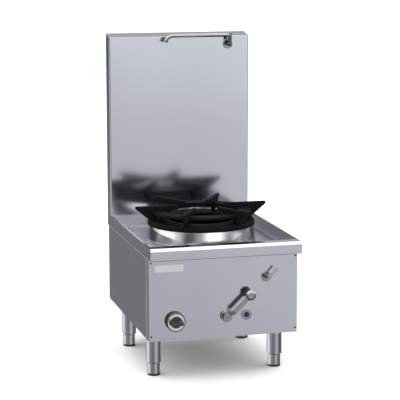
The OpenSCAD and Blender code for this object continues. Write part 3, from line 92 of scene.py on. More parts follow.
class BoilerFinish(bpy.types.PropertyGroup):
    sheet: colour("Stainless sheet", "Colour of the satin sheet", (0.575, 0.597, 0.66))
    # The hob's well and the deck pan are the same steel as the sheet, painted lighter as painted
    # light from overhead
    hob: colour("Hob sheet", "Colour of the hob's sheet", (0.66, 0.68, 0.73))
    leg: colour("Leg tubes", "Colour of the leg tubes and feet", (0.56, 0.575, 0.62))
    frame_steel: colour("Frame steel", "Colour of the galvanised frame", (0.42, 0.43, 0.45))
    bright: colour("Polished steel", "Colour of the polished pieces", (0.82, 0.82, 0.84))
    chrome: colour("Plating", "Colour of the bright plating", (0.33, 0.32, 0.31))
    control: colour("Control plating", "Colour of the lever, the tap and the bezel",
                    (0.36, 0.35, 0.335))
    # The elbow's plating is the same as the rest, darkened as painted shade
    elbow: colour("Elbow plating", "Colour of the spout's elbow", (0.15, 0.148, 0.145))
    iron: colour("Cast iron", "Colour of the black castings", (0.0044, 0.0044, 0.0046))
    rubber: colour("Rubber", "Colour of the feet's pads", (0.018, 0.018, 0.019))
    plastic: colour("Knob plastic", "Colour of the knob", (0.013, 0.014, 0.015))
    button: colour("Button plastic", "Colour of the push button", (0.002, 0.003, 0.16))
    brass: colour("Brass", "Colour of the valves", (0.62, 0.44, 0.17))
    copper: colour("Copper", "Colour of the pipes", (0.62, 0.30, 0.17))
    ceramic: colour("Ceramic", "Colour of the electrode", (0.78, 0.75, 0.68))
    sheet_rough: number("Sheet roughness", "Roughness of the satin sheet", 0.165, 0.05, 0.6,
                        subtype="FACTOR")


class BoilerStage(bpy.types.PropertyGroup):
    sky: number("Surround", "Strength of the studio's surround", 1.0, 0.1, 3)
    top: number("Overhead light", "Brightness of the wide light overhead", 2.2, 0.1, 6)
    floor: colour("Floor", "Colour of the floor", (0.86, 0.86, 0.86))


SETTINGS = {"boiler_edges": BoilerEdges, "boiler_finish": BoilerFinish,
            "boiler_stage": BoilerStage}


# Shader groups that the finishes share.

# Places of the colour sockets on a Mix node
MIX_FACTOR, MIX_A, MIX_B, MIX_RESULT = 0, 6, 7, 2


class Graph:
    """Short forms for making nodes and links in a node tree."""

    def __init__(self, tree):
        self.tree = tree

    def add(self, kind, inputs=(), **values):
        n = self.tree.nodes.new(kind)
        for k, v in values.items():
            setattr(n, k, v)
        for key, v in dict(inputs).items():
            self.feed(v, n.inputs[key])
        return n

    def feed(self, value, socket):
        if isinstance(value, bpy.types.NodeSocket):
            self.tree.links.new(value, socket)
        else:
            socket.default_value = value

    def math(self, op, a, b=0.0, clamp=False):
        return self.add("ShaderNodeMath", {0: a, 1: b}, operation=op, use_clamp=clamp).outputs[0]

    def plus(self, start, by, mask, clamp=False):
        """The start value with the mask's share of an amount added."""
        return self.math("ADD", start, self.math("MULTIPLY", mask, by), clamp)

    def between(self, factor, a, b):
        """The value a where the factor is 0, and b where it is 1."""
        return self.plus(a, self.math("SUBTRACT", b, a), factor)

    def remap(self, value, a, b, lo, hi):
        return self.add("ShaderNodeMapRange", {0: value, 1: a, 2: b, 3: lo, 4: hi}).outputs[0]

    def step(self, value, a, b):
        """A mask that is 0 at a and 1 at b."""
        return self.remap(value, a, b, 0.0, 1.0)

    def span(self, mask, lo, hi):
        """The low value where a mask is 0, and the high one where it is 1."""
        return self.remap(mask, 0.0, 1.0, lo, hi)

    def mix(self, factor, a, b):
        n = self.add("ShaderNodeMix", {MIX_FACTOR: factor}, data_type="RGBA")
        self.feed(a, n.inputs[MIX_A])
        self.feed(b, n.inputs[MIX_B])
        return n.outputs[MIX_RESULT]

    def noise(self, vector, scale, detail=3.0, rough=0.5):
        return self.add("ShaderNodeTexNoise", {"Vector": vector, "Scale": scale, "Detail": detail,
                                               "Roughness": rough}).outputs[0]

    def scaled(self, vector, by):
        n = self.add("ShaderNodeVectorMath", {0: vector, 1: by}, operation="MULTIPLY")
        return n.outputs[0]


GROUP_SOCKET = {"f": "NodeSocketFloat", "v": "NodeSocketVector"}


def shader_group(name, inputs, outputs, build):
    """A node group with named sockets. The build function gets its graph and input sockets,
    and returns its outputs by name."""
    tree = bpy.data.node_groups.new(name, "ShaderNodeTree")
    for kind, label, default in inputs:
        s = tree.interface.new_socket(label, in_out="INPUT", socket_type=GROUP_SOCKET[kind])
        s.default_value = default
    for kind, label in outputs:
        tree.interface.new_socket(label, in_out="OUTPUT", socket_type=GROUP_SOCKET[kind])
    g = Graph(tree)
    source, sink = g.add("NodeGroupInput"), g.add("NodeGroupOutput")
    for label, value in build(g, source.outputs).items():
        g.feed(value, sink.inputs[label])
    return tree


# Scale of the broad changes of tone across a sheet
BROAD_SCALE = (3.0, 3.0, 3.0)
# How much finer the small smears are than the broad ones
FINE_SMEARS = 9.0
# How much coarser a casting's roll is than its pits
ROLL_SCALE = 0.12
# Pointiness of a flat face, and the scale at which a rubbed edge breaks up
FLAT_POINT, RUB_SCALE = 0.5, 160.0


def build_grain(g, i):
    """Fine lines that run along one axis: Stretch squeezes the noise across them."""
    lines = g.noise(g.scaled(i["Position"], i["Stretch"]), 1.0, detail=4.0, rough=0.65)
    broad = g.noise(g.scaled(i["Position"], BROAD_SCALE), 1.0, detail=2.0)
    value = g.remap(lines, 0.3, 0.7, -1.0, 1.0)
    both = g.plus(g.remap(broad, 0.3, 0.7, -0.5, 0.5), 0.5, value)
    return {"Tone": g.plus(1.0, i["Tone"], both),
            "Roughness": g.plus(i["Roughness"], i["Spread"], value, clamp=True),
            "Height": lines}


def build_smears(g, i):
    """Soft patches where a surface has been wiped or handled."""
    broad = g.noise(i["Position"], i["Scale"], detail=4.0, rough=0.6)
    fine = g.noise(i["Position"], g.math("MULTIPLY", i["Scale"], FINE_SMEARS), rough=0.6)
    both = g.plus(g.math("MULTIPLY", broad, 0.7), 0.3, fine)
    return {"Mask": g.step(both, 0.42, 0.66)}


def build_wear(g, i):
    """Outer edges that are rubbed brighter."""
    point = g.add("ShaderNodeNewGeometry").outputs["Pointiness"]
    edge = g.step(point, FLAT_POINT, i["Width"])
    broken = g.remap(g.noise(i["Position"], RUB_SCALE), 0.35, 0.65, 0.2, 1.0)
    return {"Mask": g.math("MULTIPLY", edge, broken, clamp=True)}


def build_casting(g, i):
    """Sand-cast skin: pits and a slight roll."""
    pits = g.noise(i["Position"], i["Scale"], detail=6.0, rough=0.7)
    roll = g.noise(i["Position"], g.math("MULTIPLY", i["Scale"], ROLL_SCALE), detail=2.0)
    return {"Height": g.plus(g.math("MULTIPLY", pits, 0.75), 0.5, roll),
            "Mask": g.step(pits, 0.4, 0.62)}


GROUPS = {}


def make_groups():
    place = ("v", "Position", (0, 0, 0))
    GROUPS["grain"] = shader_group(
        "Rolled grain",
        [place, ("v", "Stretch", (40, 40, 3000)), ("f", "Tone", 0.05), ("f", "Roughness", 0.2),
         ("f", "Spread", 0.03)],
        [("f", "Tone"), ("f", "Roughness"), ("f", "Height")], build_grain)
    GROUPS["smears"] = shader_group(
        "Wiped smears", [place, ("f", "Scale", 6.0)], [("f", "Mask")], build_smears)
    GROUPS["wear"] = shader_group(
        "Rubbed edges", [place, ("f", "Width", 0.56)], [("f", "Mask")], build_wear)
    GROUPS["casting"] = shader_group(
        "Cast skin", [place, ("f", "Scale", 420.0)], [("f", "Height"), ("f", "Mask")],
        build_casting)


# Finishes.

MATERIALS = {}

# Noise scales of a sheet's grain: it runs along the axis whose scale is low
ALONG_X, ALONG_Y, ALONG_Z = (30, 1500, 1500), (1500, 30, 1500), (1500, 1500, 30)
LEG_GRAIN, SPUN_GRAIN = (900, 900, 40), (60, 60, 900)
# The front and the splashback are this much smoother than the sides
FINER = 0.03
# How much lighter a rubbed edge is than its surface
RUBBED = 4.0
SCREW_BLACK, SCREW_WORN = (0.006, 0.006, 0.006), (0.03, 0.03, 0.03)


class Paint:
    """One material: its shader, its position vector and its groups."""

    def __init__(self, name, metallic=0.0, **fixed):
        self.mat = bpy.data.materials.new(name)
        self.mat.use_nodes = True
        self.g = Graph(self.mat.node_tree)
        self.shader = self.mat.node_tree.nodes["Principled BSDF"]
        self.set(Metallic=metallic, **fixed)
        self.at = self.g.add("ShaderNodeTexCoord").outputs["Object"]
        MATERIALS[name] = self.mat

    def use(self, group, **inputs):
        n = self.g.add("ShaderNodeGroup", node_tree=GROUPS[group])
        self.g.feed(self.at, n.inputs["Position"])
        for key, v in inputs.items():
            self.g.feed(v, n.inputs[key])
        return n.outputs

    def set(self, **inputs):
        for key, v in inputs.items():
            self.g.feed(v, self.shader.inputs[key.replace("_", " ")])

    def bump(self, height, strength, depth):
        b = self.g.add("ShaderNodeBump",
                       {"Strength": strength, "Distance": depth, "Height": height})
        self.g.feed(b.outputs[0], self.shader.inputs["Normal"])

    def toned(self, base, factor):
        """A colour made lighter or darker by a factor that varies over the surface."""
        n = self.g.add("ShaderNodeVectorMath", operation="SCALE")
        n.inputs[0].default_value = base
        self.g.feed(factor, n.inputs["Scale"])
        return n.outputs[0]

    def shaded(self, base, mask, by):
        """A colour that is so many times as light where the mask is full."""
        return self.g.mix(mask, rgba(base), rgba(base, by))

    def rubbed(self, under, base, width, share):
        """The colour under it, made lighter along the outer edges."""
        wear = self.use("wear", Width=width)["Mask"]
        return self.g.mix(self.g.math("MULTIPLY", wear, share), under, rgba(base, RUBBED))


def rgba(c, k=1.0):
    return (c[0] * k, c[1] * k, c[2] * k, 1.0)


def sheet_paint(name, base, stretch, rough, tone=0.05, spread=0.03, grain=0.05):
    """Steel with a rolled, drawn or spun grain and faint smears. The grain changes the colour
    by tone and the roughness by spread, and stands out in the bump by grain."""
    p = Paint(name, metallic=1.0)
    line = p.use("grain", Stretch=stretch, Tone=tone, Roughness=rough, Spread=spread)
    smear = p.use("smears", Scale=2.2)["Mask"]
    p.set(Base_Color=p.toned(base, line["Tone"]),
          Roughness=p.g.plus(line["Roughness"], 0.012, smear))
    p.bump(line["Height"], strength=grain, depth=0.0001)


def make_steels(look):
    """Satin sheet, tubes, the galvanised frame and the polished pieces."""
    rough, even = look.sheet_rough, {"tone": 0.02, "spread": 0.01, "grain": 0.01}
    sheet_paint("sheet front", look.sheet, ALONG_X, rough - FINER)
    sheet_paint("sheet side", look.sheet, ALONG_Y, rough)
    sheet_paint("sheet splash", look.sheet, ALONG_Z, rough - FINER)
    # The well and the deck pan: a lighter copy of the sheet, painted light where the overhead
    # light falls
    sheet_paint("lit hob sheet", look.hob, ALONG_X, rough=0.3, **even)
    sheet_paint("lit deck sheet", look.hob, ALONG_X, rough=0.27, **even)
    # The rims and the skirts' hems: rounded in the geometry, and painted in the lighter polished
    # colour as a painted highlight
    sheet_paint("rolled edge highlight", look.bright, ALONG_Y, rough=0.3,
                tone=0.02, spread=0.02, grain=0.01)
    sheet_paint("leg steel", look.leg, LEG_GRAIN, rough=0.13,
                tone=0.03, spread=0.02, grain=0.01)
    sheet_paint("frame steel", look.frame_steel, ALONG_X, rough=0.42,
                tone=0.12, spread=0.06, grain=0.1)
    sheet_paint("polished steel", look.bright, SPUN_GRAIN, rough=0.1,
                tone=0.02, spread=0.01, grain=0.004)


def make_platings(look):
    """Bright plating, duller where it is handled, and a darker copy for the elbow as painted
    shade.
    """
    for name, base in (("plating", look.chrome), ("control plating", look.control),
                       ("shaded elbow plating", look.elbow)):
        p = Paint(name, metallic=1.0)
        smear = p.use("smears", Scale=22.0)["Mask"]
        dull = p.g.math("MAXIMUM", smear, p.use("wear", Width=0.58)["Mask"])
        p.set(Base_Color=p.toned(base, p.g.plus(1.0, -0.06, smear)),
              Roughness=p.g.plus(0.07, 0.05, dull))
        p.bump(smear, strength=0.02, depth=0.0001)


def make_castings(look):
    """Cast iron, and the rubber of the pads, which has the same skin on a finer scale."""
    p = Paint("cast iron", Specular_IOR_Level=0.02)
    skin = p.use("casting", Scale=420.0)
    pitted = p.shaded(look.iron, skin["Mask"], 1.7)
    p.set(Base_Color=p.rubbed(pitted, look.iron, width=0.57, share=0.5),
          Roughness=p.g.span(skin["Mask"], 0.5, 0.66))
    p.bump(skin["Height"], strength=0.35, depth=0.0006)

    p = Paint("pad rubber")
    skin = p.use("casting", Scale=900.0)
    p.set(Base_Color=p.shaded(look.rubber, skin["Mask"], 1.6),
          Roughness=p.g.span(skin["Mask"], 0.5, 0.7))
    p.bump(skin["Height"], strength=0.15, depth=0.0002)


def make_plastics(look):
    """The knob's and the button's plastic."""
    p = Paint("knob plastic", Specular_IOR_Level=0.5)
    smear = p.use("smears", Scale=40.0)["Mask"]
    handled = p.shaded(look.plastic, smear, 1.5)
    p.set(Base_Color=p.rubbed(handled, look.plastic, width=0.56, share=0.6),
          Roughness=p.g.span(smear, 0.34, 0.42))
    p.bump(p.use("casting", Scale=1600.0)["Height"], strength=0.1, depth=0.0001)

    p = Paint("button plastic", Coat_Weight=0.2, Coat_Roughness=0.06, Specular_IOR_Level=0.3)
    smear = p.use("smears", Scale=60.0)["Mask"]
    p.set(Base_Color=p.shaded(look.button, smear, 1.25), Roughness=p.g.span(smear, 0.14, 0.24))


def make_fittings(look):
    """Brass, copper, ceramic and the black screws."""
    for name, base, rough in (("valve brass", look.brass, 0.34),
                              ("pipe copper", look.copper, 0.26)):
        p = Paint(name, metallic=1.0)
        smear = p.use("smears", Scale=30.0)["Mask"]
        p.set(Base_Color=p.shaded(base, smear, 0.6), Roughness=p.g.plus(rough, 0.16, smear))
        p.bump(p.use("casting", Scale=900.0)["Height"], strength=0.12, depth=0.0002)

    p = Paint("electrode ceramic", Coat_Weight=0.3, Coat_Roughness=0.15)
    smear = p.use("smears", Scale=80.0)["Mask"]
    p.set(Base_Color=p.shaded(look.ceramic, smear, 0.82), Roughness=p.g.span(smear, 0.25, 0.4))

    p = Paint("black screw", Specular_IOR_Level=0.2)
    smear = p.use("smears", Scale=90.0)["Mask"]
    wear = p.use("wear", Width=0.6)["Mask"]
    p.set(Base_Color=p.g.mix(wear, rgba(SCREW_BLACK), rgba(SCREW_WORN)),
          Roughness=p.g.span(smear, 0.35, 0.5))


# Mesh helpers.

# Vertices that are nearer than this are joined, and faces that bend less than this
WELD, FLAT = 2e-6, math.radians(0.3)
# Edges that bend more than the first are rounded, and less than the second are shaded smooth
FOLD_ANGLE, SMOOTH_ANGLE = math.radians(28), math.radians(30)
# The same as the second for a bead, which has few sides
BEAD_ANGLE = math.radians(50)
# Edges that bend more than this, in radians, may get a fuller rounding of so many segments
FULLER_ANGLE, FULLER_SEGMENTS = 1, 4
LATHE_SIDES, BEAD_SIDES = 144, 10


def new_piece(name, mesh, node, material):
    """Adds a mesh as a piece that stands for a CAD node."""
    obj = bpy.data.objects.new(name, mesh)
    bpy.context.scene.collection.objects.link(obj)
    mesh.materials.clear()
    mesh.materials.append(MATERIALS[material])
    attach(obj, BODY_OF[node])
    return obj


def mesh_of(bm, name):
    """Ends a bmesh and puts it in a new mesh."""
    mesh = bpy.data.meshes.new(name)
    bm.to_mesh(mesh)
    bm.free()
    return mesh


def baked(obj):
    """Applies the modifiers on a piece."""
    graph = bpy.context.evaluated_depsgraph_get()
    old = obj.data
    obj.data = bpy.data.meshes.new_from_object(obj.evaluated_get(graph))
    obj.data.name = obj.name
    obj.modifiers.clear()
    bpy.data.meshes.remove(old)
    return obj


def smooth(obj, angle=SMOOTH_ANGLE):
    """Smooth shading that keeps edges sharper than the angle, with face-weighted normals."""
    mesh = obj.data
    for p in mesh.polygons:
        p.use_smooth = True
    bm = bmesh.new()
    bm.from_mesh(mesh)
    for e in bm.edges:
        e.smooth = len(e.link_faces) == 2 and e.calc_face_angle(0) < angle
    bm.to_mesh(mesh)
    bm.free()
    obj.modifiers.new("normals", "WEIGHTED_NORMAL").keep_sharp = True
    return baked(obj)


def cleaned(node):
    """A copy of a CAD node's mesh, welded and with its flat faces whole again."""
    bm = bmesh.new()
    bm.from_mesh(NODES[node].data)
    bmesh.ops.remove_doubles(bm, verts=bm.verts, dist=WELD)
    bmesh.ops.dissolve_limit(bm, angle_limit=FLAT, verts=bm.verts, edges=bm.edges)
    return mesh_of(bm, node)


def rounded(obj, test, radius):
    """Rounds the edges whose two ends both pass the test."""
    bm = bmesh.new()
    bm.from_mesh(obj.data)
    edges = [e for e in bm.edges
             if all(test(v.co) for v in e.verts) and e.calc_face_angle(0) > FULLER_ANGLE]
    bmesh.ops.bevel(bm, geom=edges, offset=radius, segments=FULLER_SEGMENTS, profile=0.5,
                    affect="EDGES", clamp_overlap=True)
    bm.to_mesh(obj.data)
    bm.free()


def dress(node, material, width, segments=3, fuller=()):
    """The CAD node's own form with its edges rounded as the real piece's are. The edges that
    a test in fuller picks out get its larger radius first."""
    obj = new_piece(node + ".edged", cleaned(node), node, material)
    for test, radius in fuller:
        rounded(obj, test, radius)
    b = obj.modifiers.new("edge", "BEVEL")
    b.width, b.segments, b.limit_method, b.angle_limit = width, segments, "ANGLE", FOLD_ANGLE
    baked(obj)
    smooth(obj)
    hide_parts(node)
    return obj


def repaint(obj, material, test):
    """Gives a second finish to the faces whose middle and normal pass the test."""
    obj.data.materials.append(MATERIALS[material])
    for p in obj.data.polygons:
        if test(p.center, p.normal):
            p.material_index = len(obj.data.materials) - 1


def lathe(name, profile, node, material, middle):
    """A turned piece: a closed outline of (radius, height) points spun round the upright axis
    at x = 0, y = middle."""
    bm = bmesh.new()
    rings = []
    for k in range(LATHE_SIDES):
        turn = 2 * math.pi * k / LATHE_SIDES
        rings.append([bm.verts.new((r * math.cos(turn), middle + r * math.sin(turn), z))
                      for r, z in profile])
    for k in range(LATHE_SIDES):
        a, b = rings[k], rings[(k + 1) % LATHE_SIDES]
        for i in range(len(profile)):
            j = (i + 1) % len(profile)
            bm.faces.new((a[i], b[i], b[j], a[j]))
    bmesh.ops.recalc_face_normals(bm, faces=bm.faces)
    return smooth(new_piece(name, mesh_of(bm, name), node, material))


def bead(name, start, end, radius, node, material):
    """A straight round bead, as on a hemmed sheet edge."""
    ahead = (end - start).normalized()
    across = ahead.cross(Vector((0, 0, 1))).normalized()
    up = across.cross(ahead)
    turns = [2 * math.pi * k / BEAD_SIDES for k in range(BEAD_SIDES)]
    bm = bmesh.new()
    first, last = [[bm.verts.new(p + (across * math.cos(t) + up * math.sin(t)) * radius)
                    for t in turns] for p in (start, end)]
    for k in range(BEAD_SIDES):
        j = (k + 1) % BEAD_SIDES
        bm.faces.new((first[k], first[j], last[j], last[k]))
    bm.faces.new(first)
    bm.faces.new(last)
    bmesh.ops.recalc_face_normals(bm, faces=bm.faces)
    return smooth(new_piece(name, mesh_of(bm, name), node, material), BEAD_ANGLE)


def finish_node(node, material):
    """A CAD node that shows as it is, with its real finish."""
    mesh = NODES[node].data
    mesh.materials.clear()
    mesh.materials.append(MATERIALS[material])


# Operators, one for each group of pieces.

# Edges of small machined pieces, of the knob's dial and of the burner's casting
CRISP, DIAL_EDGE, BURNER_EDGE = 0.3 * MM, 0.2 * MM, 0.7 * MM
# Shares of the edge settings that pieces get where their edges differ from the rest
THIN, TRIVET_BASE, SHUTTER, DISC, CRANK, FLANGE, SPOUT = 0.7, 0.6, 0.8, 0.6, 1.2, 0.7, 0.5

# A face looks a way when its normal has more than this of it
LOOKS = 0.5
# A point this near to a face is on it
ON_FACE = 0.1 * MM
# The hob's rolled side rims: their width from the side, how far down they are painted lighter as
# a painted highlight, and the rounding of their edges
RIM_WIDTH, RIM_PAINTED, RIM_RADIUS = 6.1 * MM, 2.5 * MM, 2.6 * MM
FASCIA_RADIUS = 2.4 * MM
# The well's lighter finish, painted light where the overhead light falls, reaches this far round
# the deck pan, and stops this far from the hob's sides and below its top
WELL_REACH, WELL_FROM_SIDE, WELL_FROM_TOP = 25 * MM, 3 * MM, 1 * MM
# The hems under the skirts stop this far from the hob's front and back
HEM_FROM_FRONT, HEM_FROM_BACK = 30 * MM, 3 * MM

# The chimney ring: its sheet, the width of its flat top, how far its foot stands out beyond its
# top, how its flare grows, and its rows of faces
RING_WALL, RING_FLANGE, RING_FLARE, RING_CURVE, RING_ROWS = 2.5 * MM, 14 * MM, 9.2 * MM, 1.12, 14
# Its rounded lip, in mm in from the wall and down from the top
RING_LIP = ((0.4, 1.2), (1.2, 0.4), (2.5, 0))

# The bore of the pot support's ring, and how near it a vertex of the bore lies
SUPPORT_BORE, BORE_NEAR = 150 * MM, 0.2 * MM
# The rib under it, in mm out from the axis and up from the ring's underside
RIB = ((150.3, 1.5), (150.3, -8.0), (151.3, -9.0), (155, -9.0), (156.5, -7.5), (159, 1.5))


class BoilerOperator:
    """What all the operators share."""
    bl_options = {"REGISTER", "UNDO"}


class BOILER_OT_materials(BoilerOperator, bpy.types.Operator):
    """Make the shader groups and the finishes"""
    bl_idname = "boiler.materials"
    bl_label = "Finishes"

    def execute(self, context):
        look = context.scene.boiler_finish
        make_groups()
        make_steels(look)
        make_platings(look)
        make_castings(look)
        make_plastics(look)
        make_fittings(look)
        return {"FINISHED"}


class BOILER_OT_hob(BoilerOperator, bpy.types.Operator):
    """Hob surround with its nose and well, and the deck pan"""
    bl_idname = "boiler.hob"
    bl_label = "Hob"

    def execute(self, context):
        fold = context.scene.boiler_edges.fold
        low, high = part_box("hob_top")
        well_low, well_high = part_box("deck_pan")
        well_side = min(well_high[0] + WELL_REACH, high[0] - WELL_FROM_SIDE)

        def side_rim(at):
            return at.z > high[2] - ON_FACE and abs(at.x) > high[0] - RIM_WIDTH

        def fascia_foot(at):
            return at.z < low[2] + ON_FACE and at.y < low[1] + ON_FACE

        def in_well(at, way):
            return (abs(at.x) < well_side and at.z < high[2] - WELL_FROM_TOP and way.z > -LOOKS
                    and well_low[1] - WELL_REACH < at.y < well_high[1] + WELL_REACH)

        def gets_rim_highlight(at, way):
            return (at.z > high[2] - RIM_PAINTED and abs(at.x) > high[0] - RIM_WIDTH
                    and abs(way.y) < LOOKS)

        hob = dress("hob_top", "sheet front", fold,
                    fuller=((side_rim, RIM_RADIUS), (fascia_foot, FASCIA_RADIUS)))
        # The well's faces take the lighter copy of the sheet: painted light from overhead
        repaint(hob, "lit hob sheet", in_well)
        # The side rims' tops are painted in the lighter colour: a painted highlight
        repaint(hob, "rolled edge highlight", gets_rim_highlight)
        dress("deck_pan", "lit deck sheet", fold)

        r = (high[0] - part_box("right_side_panel")[1][0]) / 2
        # Beads under the skirts' lower edges, painted in the lighter colour as a painted
        # highlight
        for side, x in (("left", low[0] + r), ("right", high[0] - r)):
            start = Vector((x, low[1] + HEM_FROM_FRONT, low[2] - r))
            end = Vector((x, high[1] - HEM_FROM_BACK, low[2] - r))
            bead("skirt_hem." + side, start, end, r, "hob_top", "rolled edge highlight")
        return {"FINISHED"}


class BOILER_OT_cabinet(BoilerOperator, bpy.types.Operator):
    """Panels, base pan and chassis"""
    bl_idname = "boiler.cabinet"
    bl_label = "Cabinet"

    def execute(self, context):
        fold = context.scene.boiler_edges.fold * THIN
        dress("front_panel", "sheet front", fold)
        for side in ("left", "right"):
            dress(side + "_side_panel", "sheet side", fold)
        dress("back_panel", "sheet front", fold)
        dress("base_pan", "frame steel", fold)
        dress("chassis_frame", "frame steel", fold, segments=2)
        return {"FINISHED"}


class BOILER_OT_splashback(BoilerOperator, bpy.types.Operator):
    """Splashback and its rear cover"""
    bl_idname = "boiler.splashback"
    bl_label = "Splashback"

    def execute(self, context):
        for node in ("splash_front", "splash_back"):
            dress(node, "sheet splash", context.scene.boiler_edges.fold * THIN)
        return {"FINISHED"}


class BOILER_OT_small_trim(BoilerOperator, bpy.types.Operator):
    """Panel screws and the bare plate"""
    bl_idname = "boiler.small_trim"
    bl_label = "Screws and plate"

    def execute(self, context):
        dress("panel_screws", "black screw", CRISP, segments=2)
        dress("badge_plate", "polished steel", CRISP)
        return {"FINISHED"}


class BOILER_OT_legs(BoilerOperator, bpy.types.Operator):
    """Leg tubes, adjustable feet and pads"""
    bl_idname = "boiler.legs"
    bl_label = "Legs"

    def execute(self, context):
        edge = context.scene.boiler_edges.leg
        for at in ("front_left", "front_right", "rear_left", "rear_right"):
            dress("leg_" + at, "leg steel", edge)
            dress("foot_" + at, "leg steel", edge)
            dress("pad_" + at, "pad rubber", edge)
        return {"FINISHED"}


class BOILER_OT_burner_top(BoilerOperator, bpy.types.Operator):
    """Chimney ring, trivet base and pot support"""
    bl_idname = "boiler.burner_top"
    bl_label = "Burner top"

    def execute(self, context):
        edge = context.scene.boiler_edges.cast
        self.ring()
        dress("trivet_base", "cast iron", edge * TRIVET_BASE)
        dress("pot_support", "cast iron", edge)
        self.rib()
        return {"FINISHED"}

    def ring(self):
        """The spun chimney ring, whose wall flares more and more down to its turned foot."""
        low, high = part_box("chimney_ring")
        foot_r, foot, top = high[0], low[2], high[2]
        top_r = foot_r - RING_FLARE
        outer = []
        for k in range(RING_ROWS + 1):
            t = k / RING_ROWS
            outer.append((foot_r - (foot_r - top_r) * (1 - (1 - t) ** RING_CURVE),
                          foot + (top - foot - RING_WALL) * t))
        lip = [(top_r - across * MM, top - down * MM) for across, down in RING_LIP]
        under = [(top_r - RING_FLANGE, top), (top_r - RING_FLANGE, top - RING_WALL),
                 (top_r - RING_WALL, top - RING_WALL)]
        inner = [(r - RING_WALL, z) for r, z in reversed(outer[:-1])]
        piece = lathe("chimney_ring.spun", outer + lip + under + inner, "chimney_ring",
                      "polished steel", (low[1] + high[1]) / 2)
        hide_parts("chimney_ring")

    def rib(self):
        """The stiffening rib under the bore of the pot support's ring."""
        low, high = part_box("pot_support")
        middle = (low[1] + high[1]) / 2
        under = min(v.co.z for v in NODES["pot_support"].data.vertices
                    if abs(math.hypot(v.co.x, v.co.y - middle) - SUPPORT_BORE) < BORE_NEAR)
        lathe("pot_support.rib", [(r * MM, under + z * MM) for r, z in RIB], "pot_support",
              "cast iron", middle)


class BOILER_OT_burner(BoilerOperator, bpy.types.Operator):
    """Burner, liner, bracket, venturi and air shutter"""
    bl_idname = "boiler.burner"
    bl_label = "Burner"

    def execute(self, context):
        edges = context.scene.boiler_edges
        dress("chamber_liner", "frame steel", edges.fold * THIN)
        dress("burner_head", "cast iron", BURNER_EDGE, segments=2)
        dress("burner_bracket", "frame steel", edges.fold)
        dress("venturi_tube", "cast iron", edges.turned)
        dress("air_shutter", "frame steel", edges.turned * SHUTTER)
        dress("injector", "valve brass", CRISP)
        return {"FINISHED"}


class BOILER_OT_pilot(BoilerOperator, bpy.types.Operator):
    """Pilot burner, thermocouple, electrode and igniter"""
    bl_idname = "boiler.pilot"
    bl_label = "Pilot"

    def execute(self, context):
        dress("pilot_burner", "valve brass", CRISP)
        finish_node("pilot_tube", "pipe copper")
        finish_node("thermocouple", "pipe copper")
        dress("electrode", "electrode ceramic", CRISP)
        finish_node("ignition_lead", "pad rubber")
        dress("igniter_body", "knob plastic", context.scene.boiler_edges.turned)
        return {"FINISHED"}


class BOILER_OT_pipework(BoilerOperator, bpy.types.Operator):
    """Valves and pipes behind the front panel"""
    bl_idname = "boiler.pipework"
    bl_label = "Pipework"

    def execute(self, context):
        for node in ("gas_valve", "flow_valve", "water_valve"):
            dress(node, "valve brass", context.scene.boiler_edges.turned)
        for node in ("feed_pipe", "link_pipe", "gas_pipe", "water_feed_pipe", "water_riser_pipe"):
            finish_node(node, "pipe copper")
        return {"FINISHED"}


class BOILER_OT_controls(BoilerOperator, bpy.types.Operator):
    """Gas knob, crank lever, push button and tap"""
    bl_idname = "boiler.controls"
    bl_label = "Controls"

    def execute(self, context):
        edge = context.scene.boiler_edges.turned
        dress("valve_spindle", "polished steel", CRISP)
        dress("knob", "knob plastic", edge)
        dress("knob_dial", "polished steel", DIAL_EDGE)
        dress("crank_washer", "control plating", edge * DISC)
        dress("crank_arm", "control plating", edge * CRANK)
        dress("crank_cap", "control plating", edge * CRANK)
        dress("button_bezel", "control plating", edge)
        dress("push_button", "button plastic", edge)
        dress("tap_escutcheon", "control plating", edge * DISC)
        dress("tap_lever", "control plating", edge)
        return {"FINISHED"}


class BOILER_OT_spout(BoilerOperator, bpy.types.Operator):
    """Wall flange, elbow and swinging spout"""
    bl_idname = "boiler.spout"
    bl_label = "Spout"

    def execute(self, context):
        edge = context.scene.boiler_edges.turned
        dress("spout_flange", "plating", edge * FLANGE)
        # The elbow takes the darker copy of the plating: painted shade
        dress("spout_elbow", "shaded elbow plating", edge * SPOUT)
        dress("spout_tube", "plating", edge * SPOUT)
        return {"FINISHED"}


# Brightness of the surround by direction in degrees, 0 at the front and positive to the right.
# The first two are the ramp's own ends.
SURROUND = (
    (-180, 0.22), (180, 0.22), (-155, 0.22), (-140, 1.1), (-130, 1.35), (-106, 1.35),
    (-95, 1.0), (-86, 0.7), (-69, 0.45), (-53, 0.42), (-37, 0.42), (-22, 0.42), (-10, 0.6),
    (2, 1.0), (10, 1.2), (23, 1.3), (31, 1.05), (39, 0.8), (56, 0.3), (76, 0.15), (104, 0.16),
    (124, 0.6), (145, 0.5), (160, 0.22))
# The same from the horizon upwards, where the chimney ring looks
SURROUND_UP = (
    (-180, 0.5), (180, 0.5), (-162, 0.3), (-150, 1.0), (-137, 1.9), (-95, 2.0), (-86, 1.6),
    (-64, 0.7), (-55, 0.35), (-47, 0.1), (-37, 0.1), (-15, 0.4), (-5, 0.9), (6, 2.0),
    (22, 1.9), (34, 0.9), (42, 0.45), (49, 0.3), (58, 0.6), (70, 1.3), (82, 2.0), (104, 2.0),
    (116, 1.1), (130, 0.45), (138, 0.12), (150, 0.4), (165, 0.52))
# A ramp's colours end at 1, so it holds brightness as a share of this
RAMP_TOP = 2.0
# Heights, as the z of a direction, over which the upper surround takes over from the lower
RISE = (0.0, 0.08)
# The same for the overhead light, which leans to the front by a share of y
OVERHEAD, OVERHEAD_LEAN = (0.38, 0.64), 0.2
# Where the soft box at the back starts and is full, by z, y and x
BACK_BOX_Z, BACK_BOX_Y, BACK_BOX_X = (0.18, 0.24), (0.8, 0.9), (0.13, 0.05)
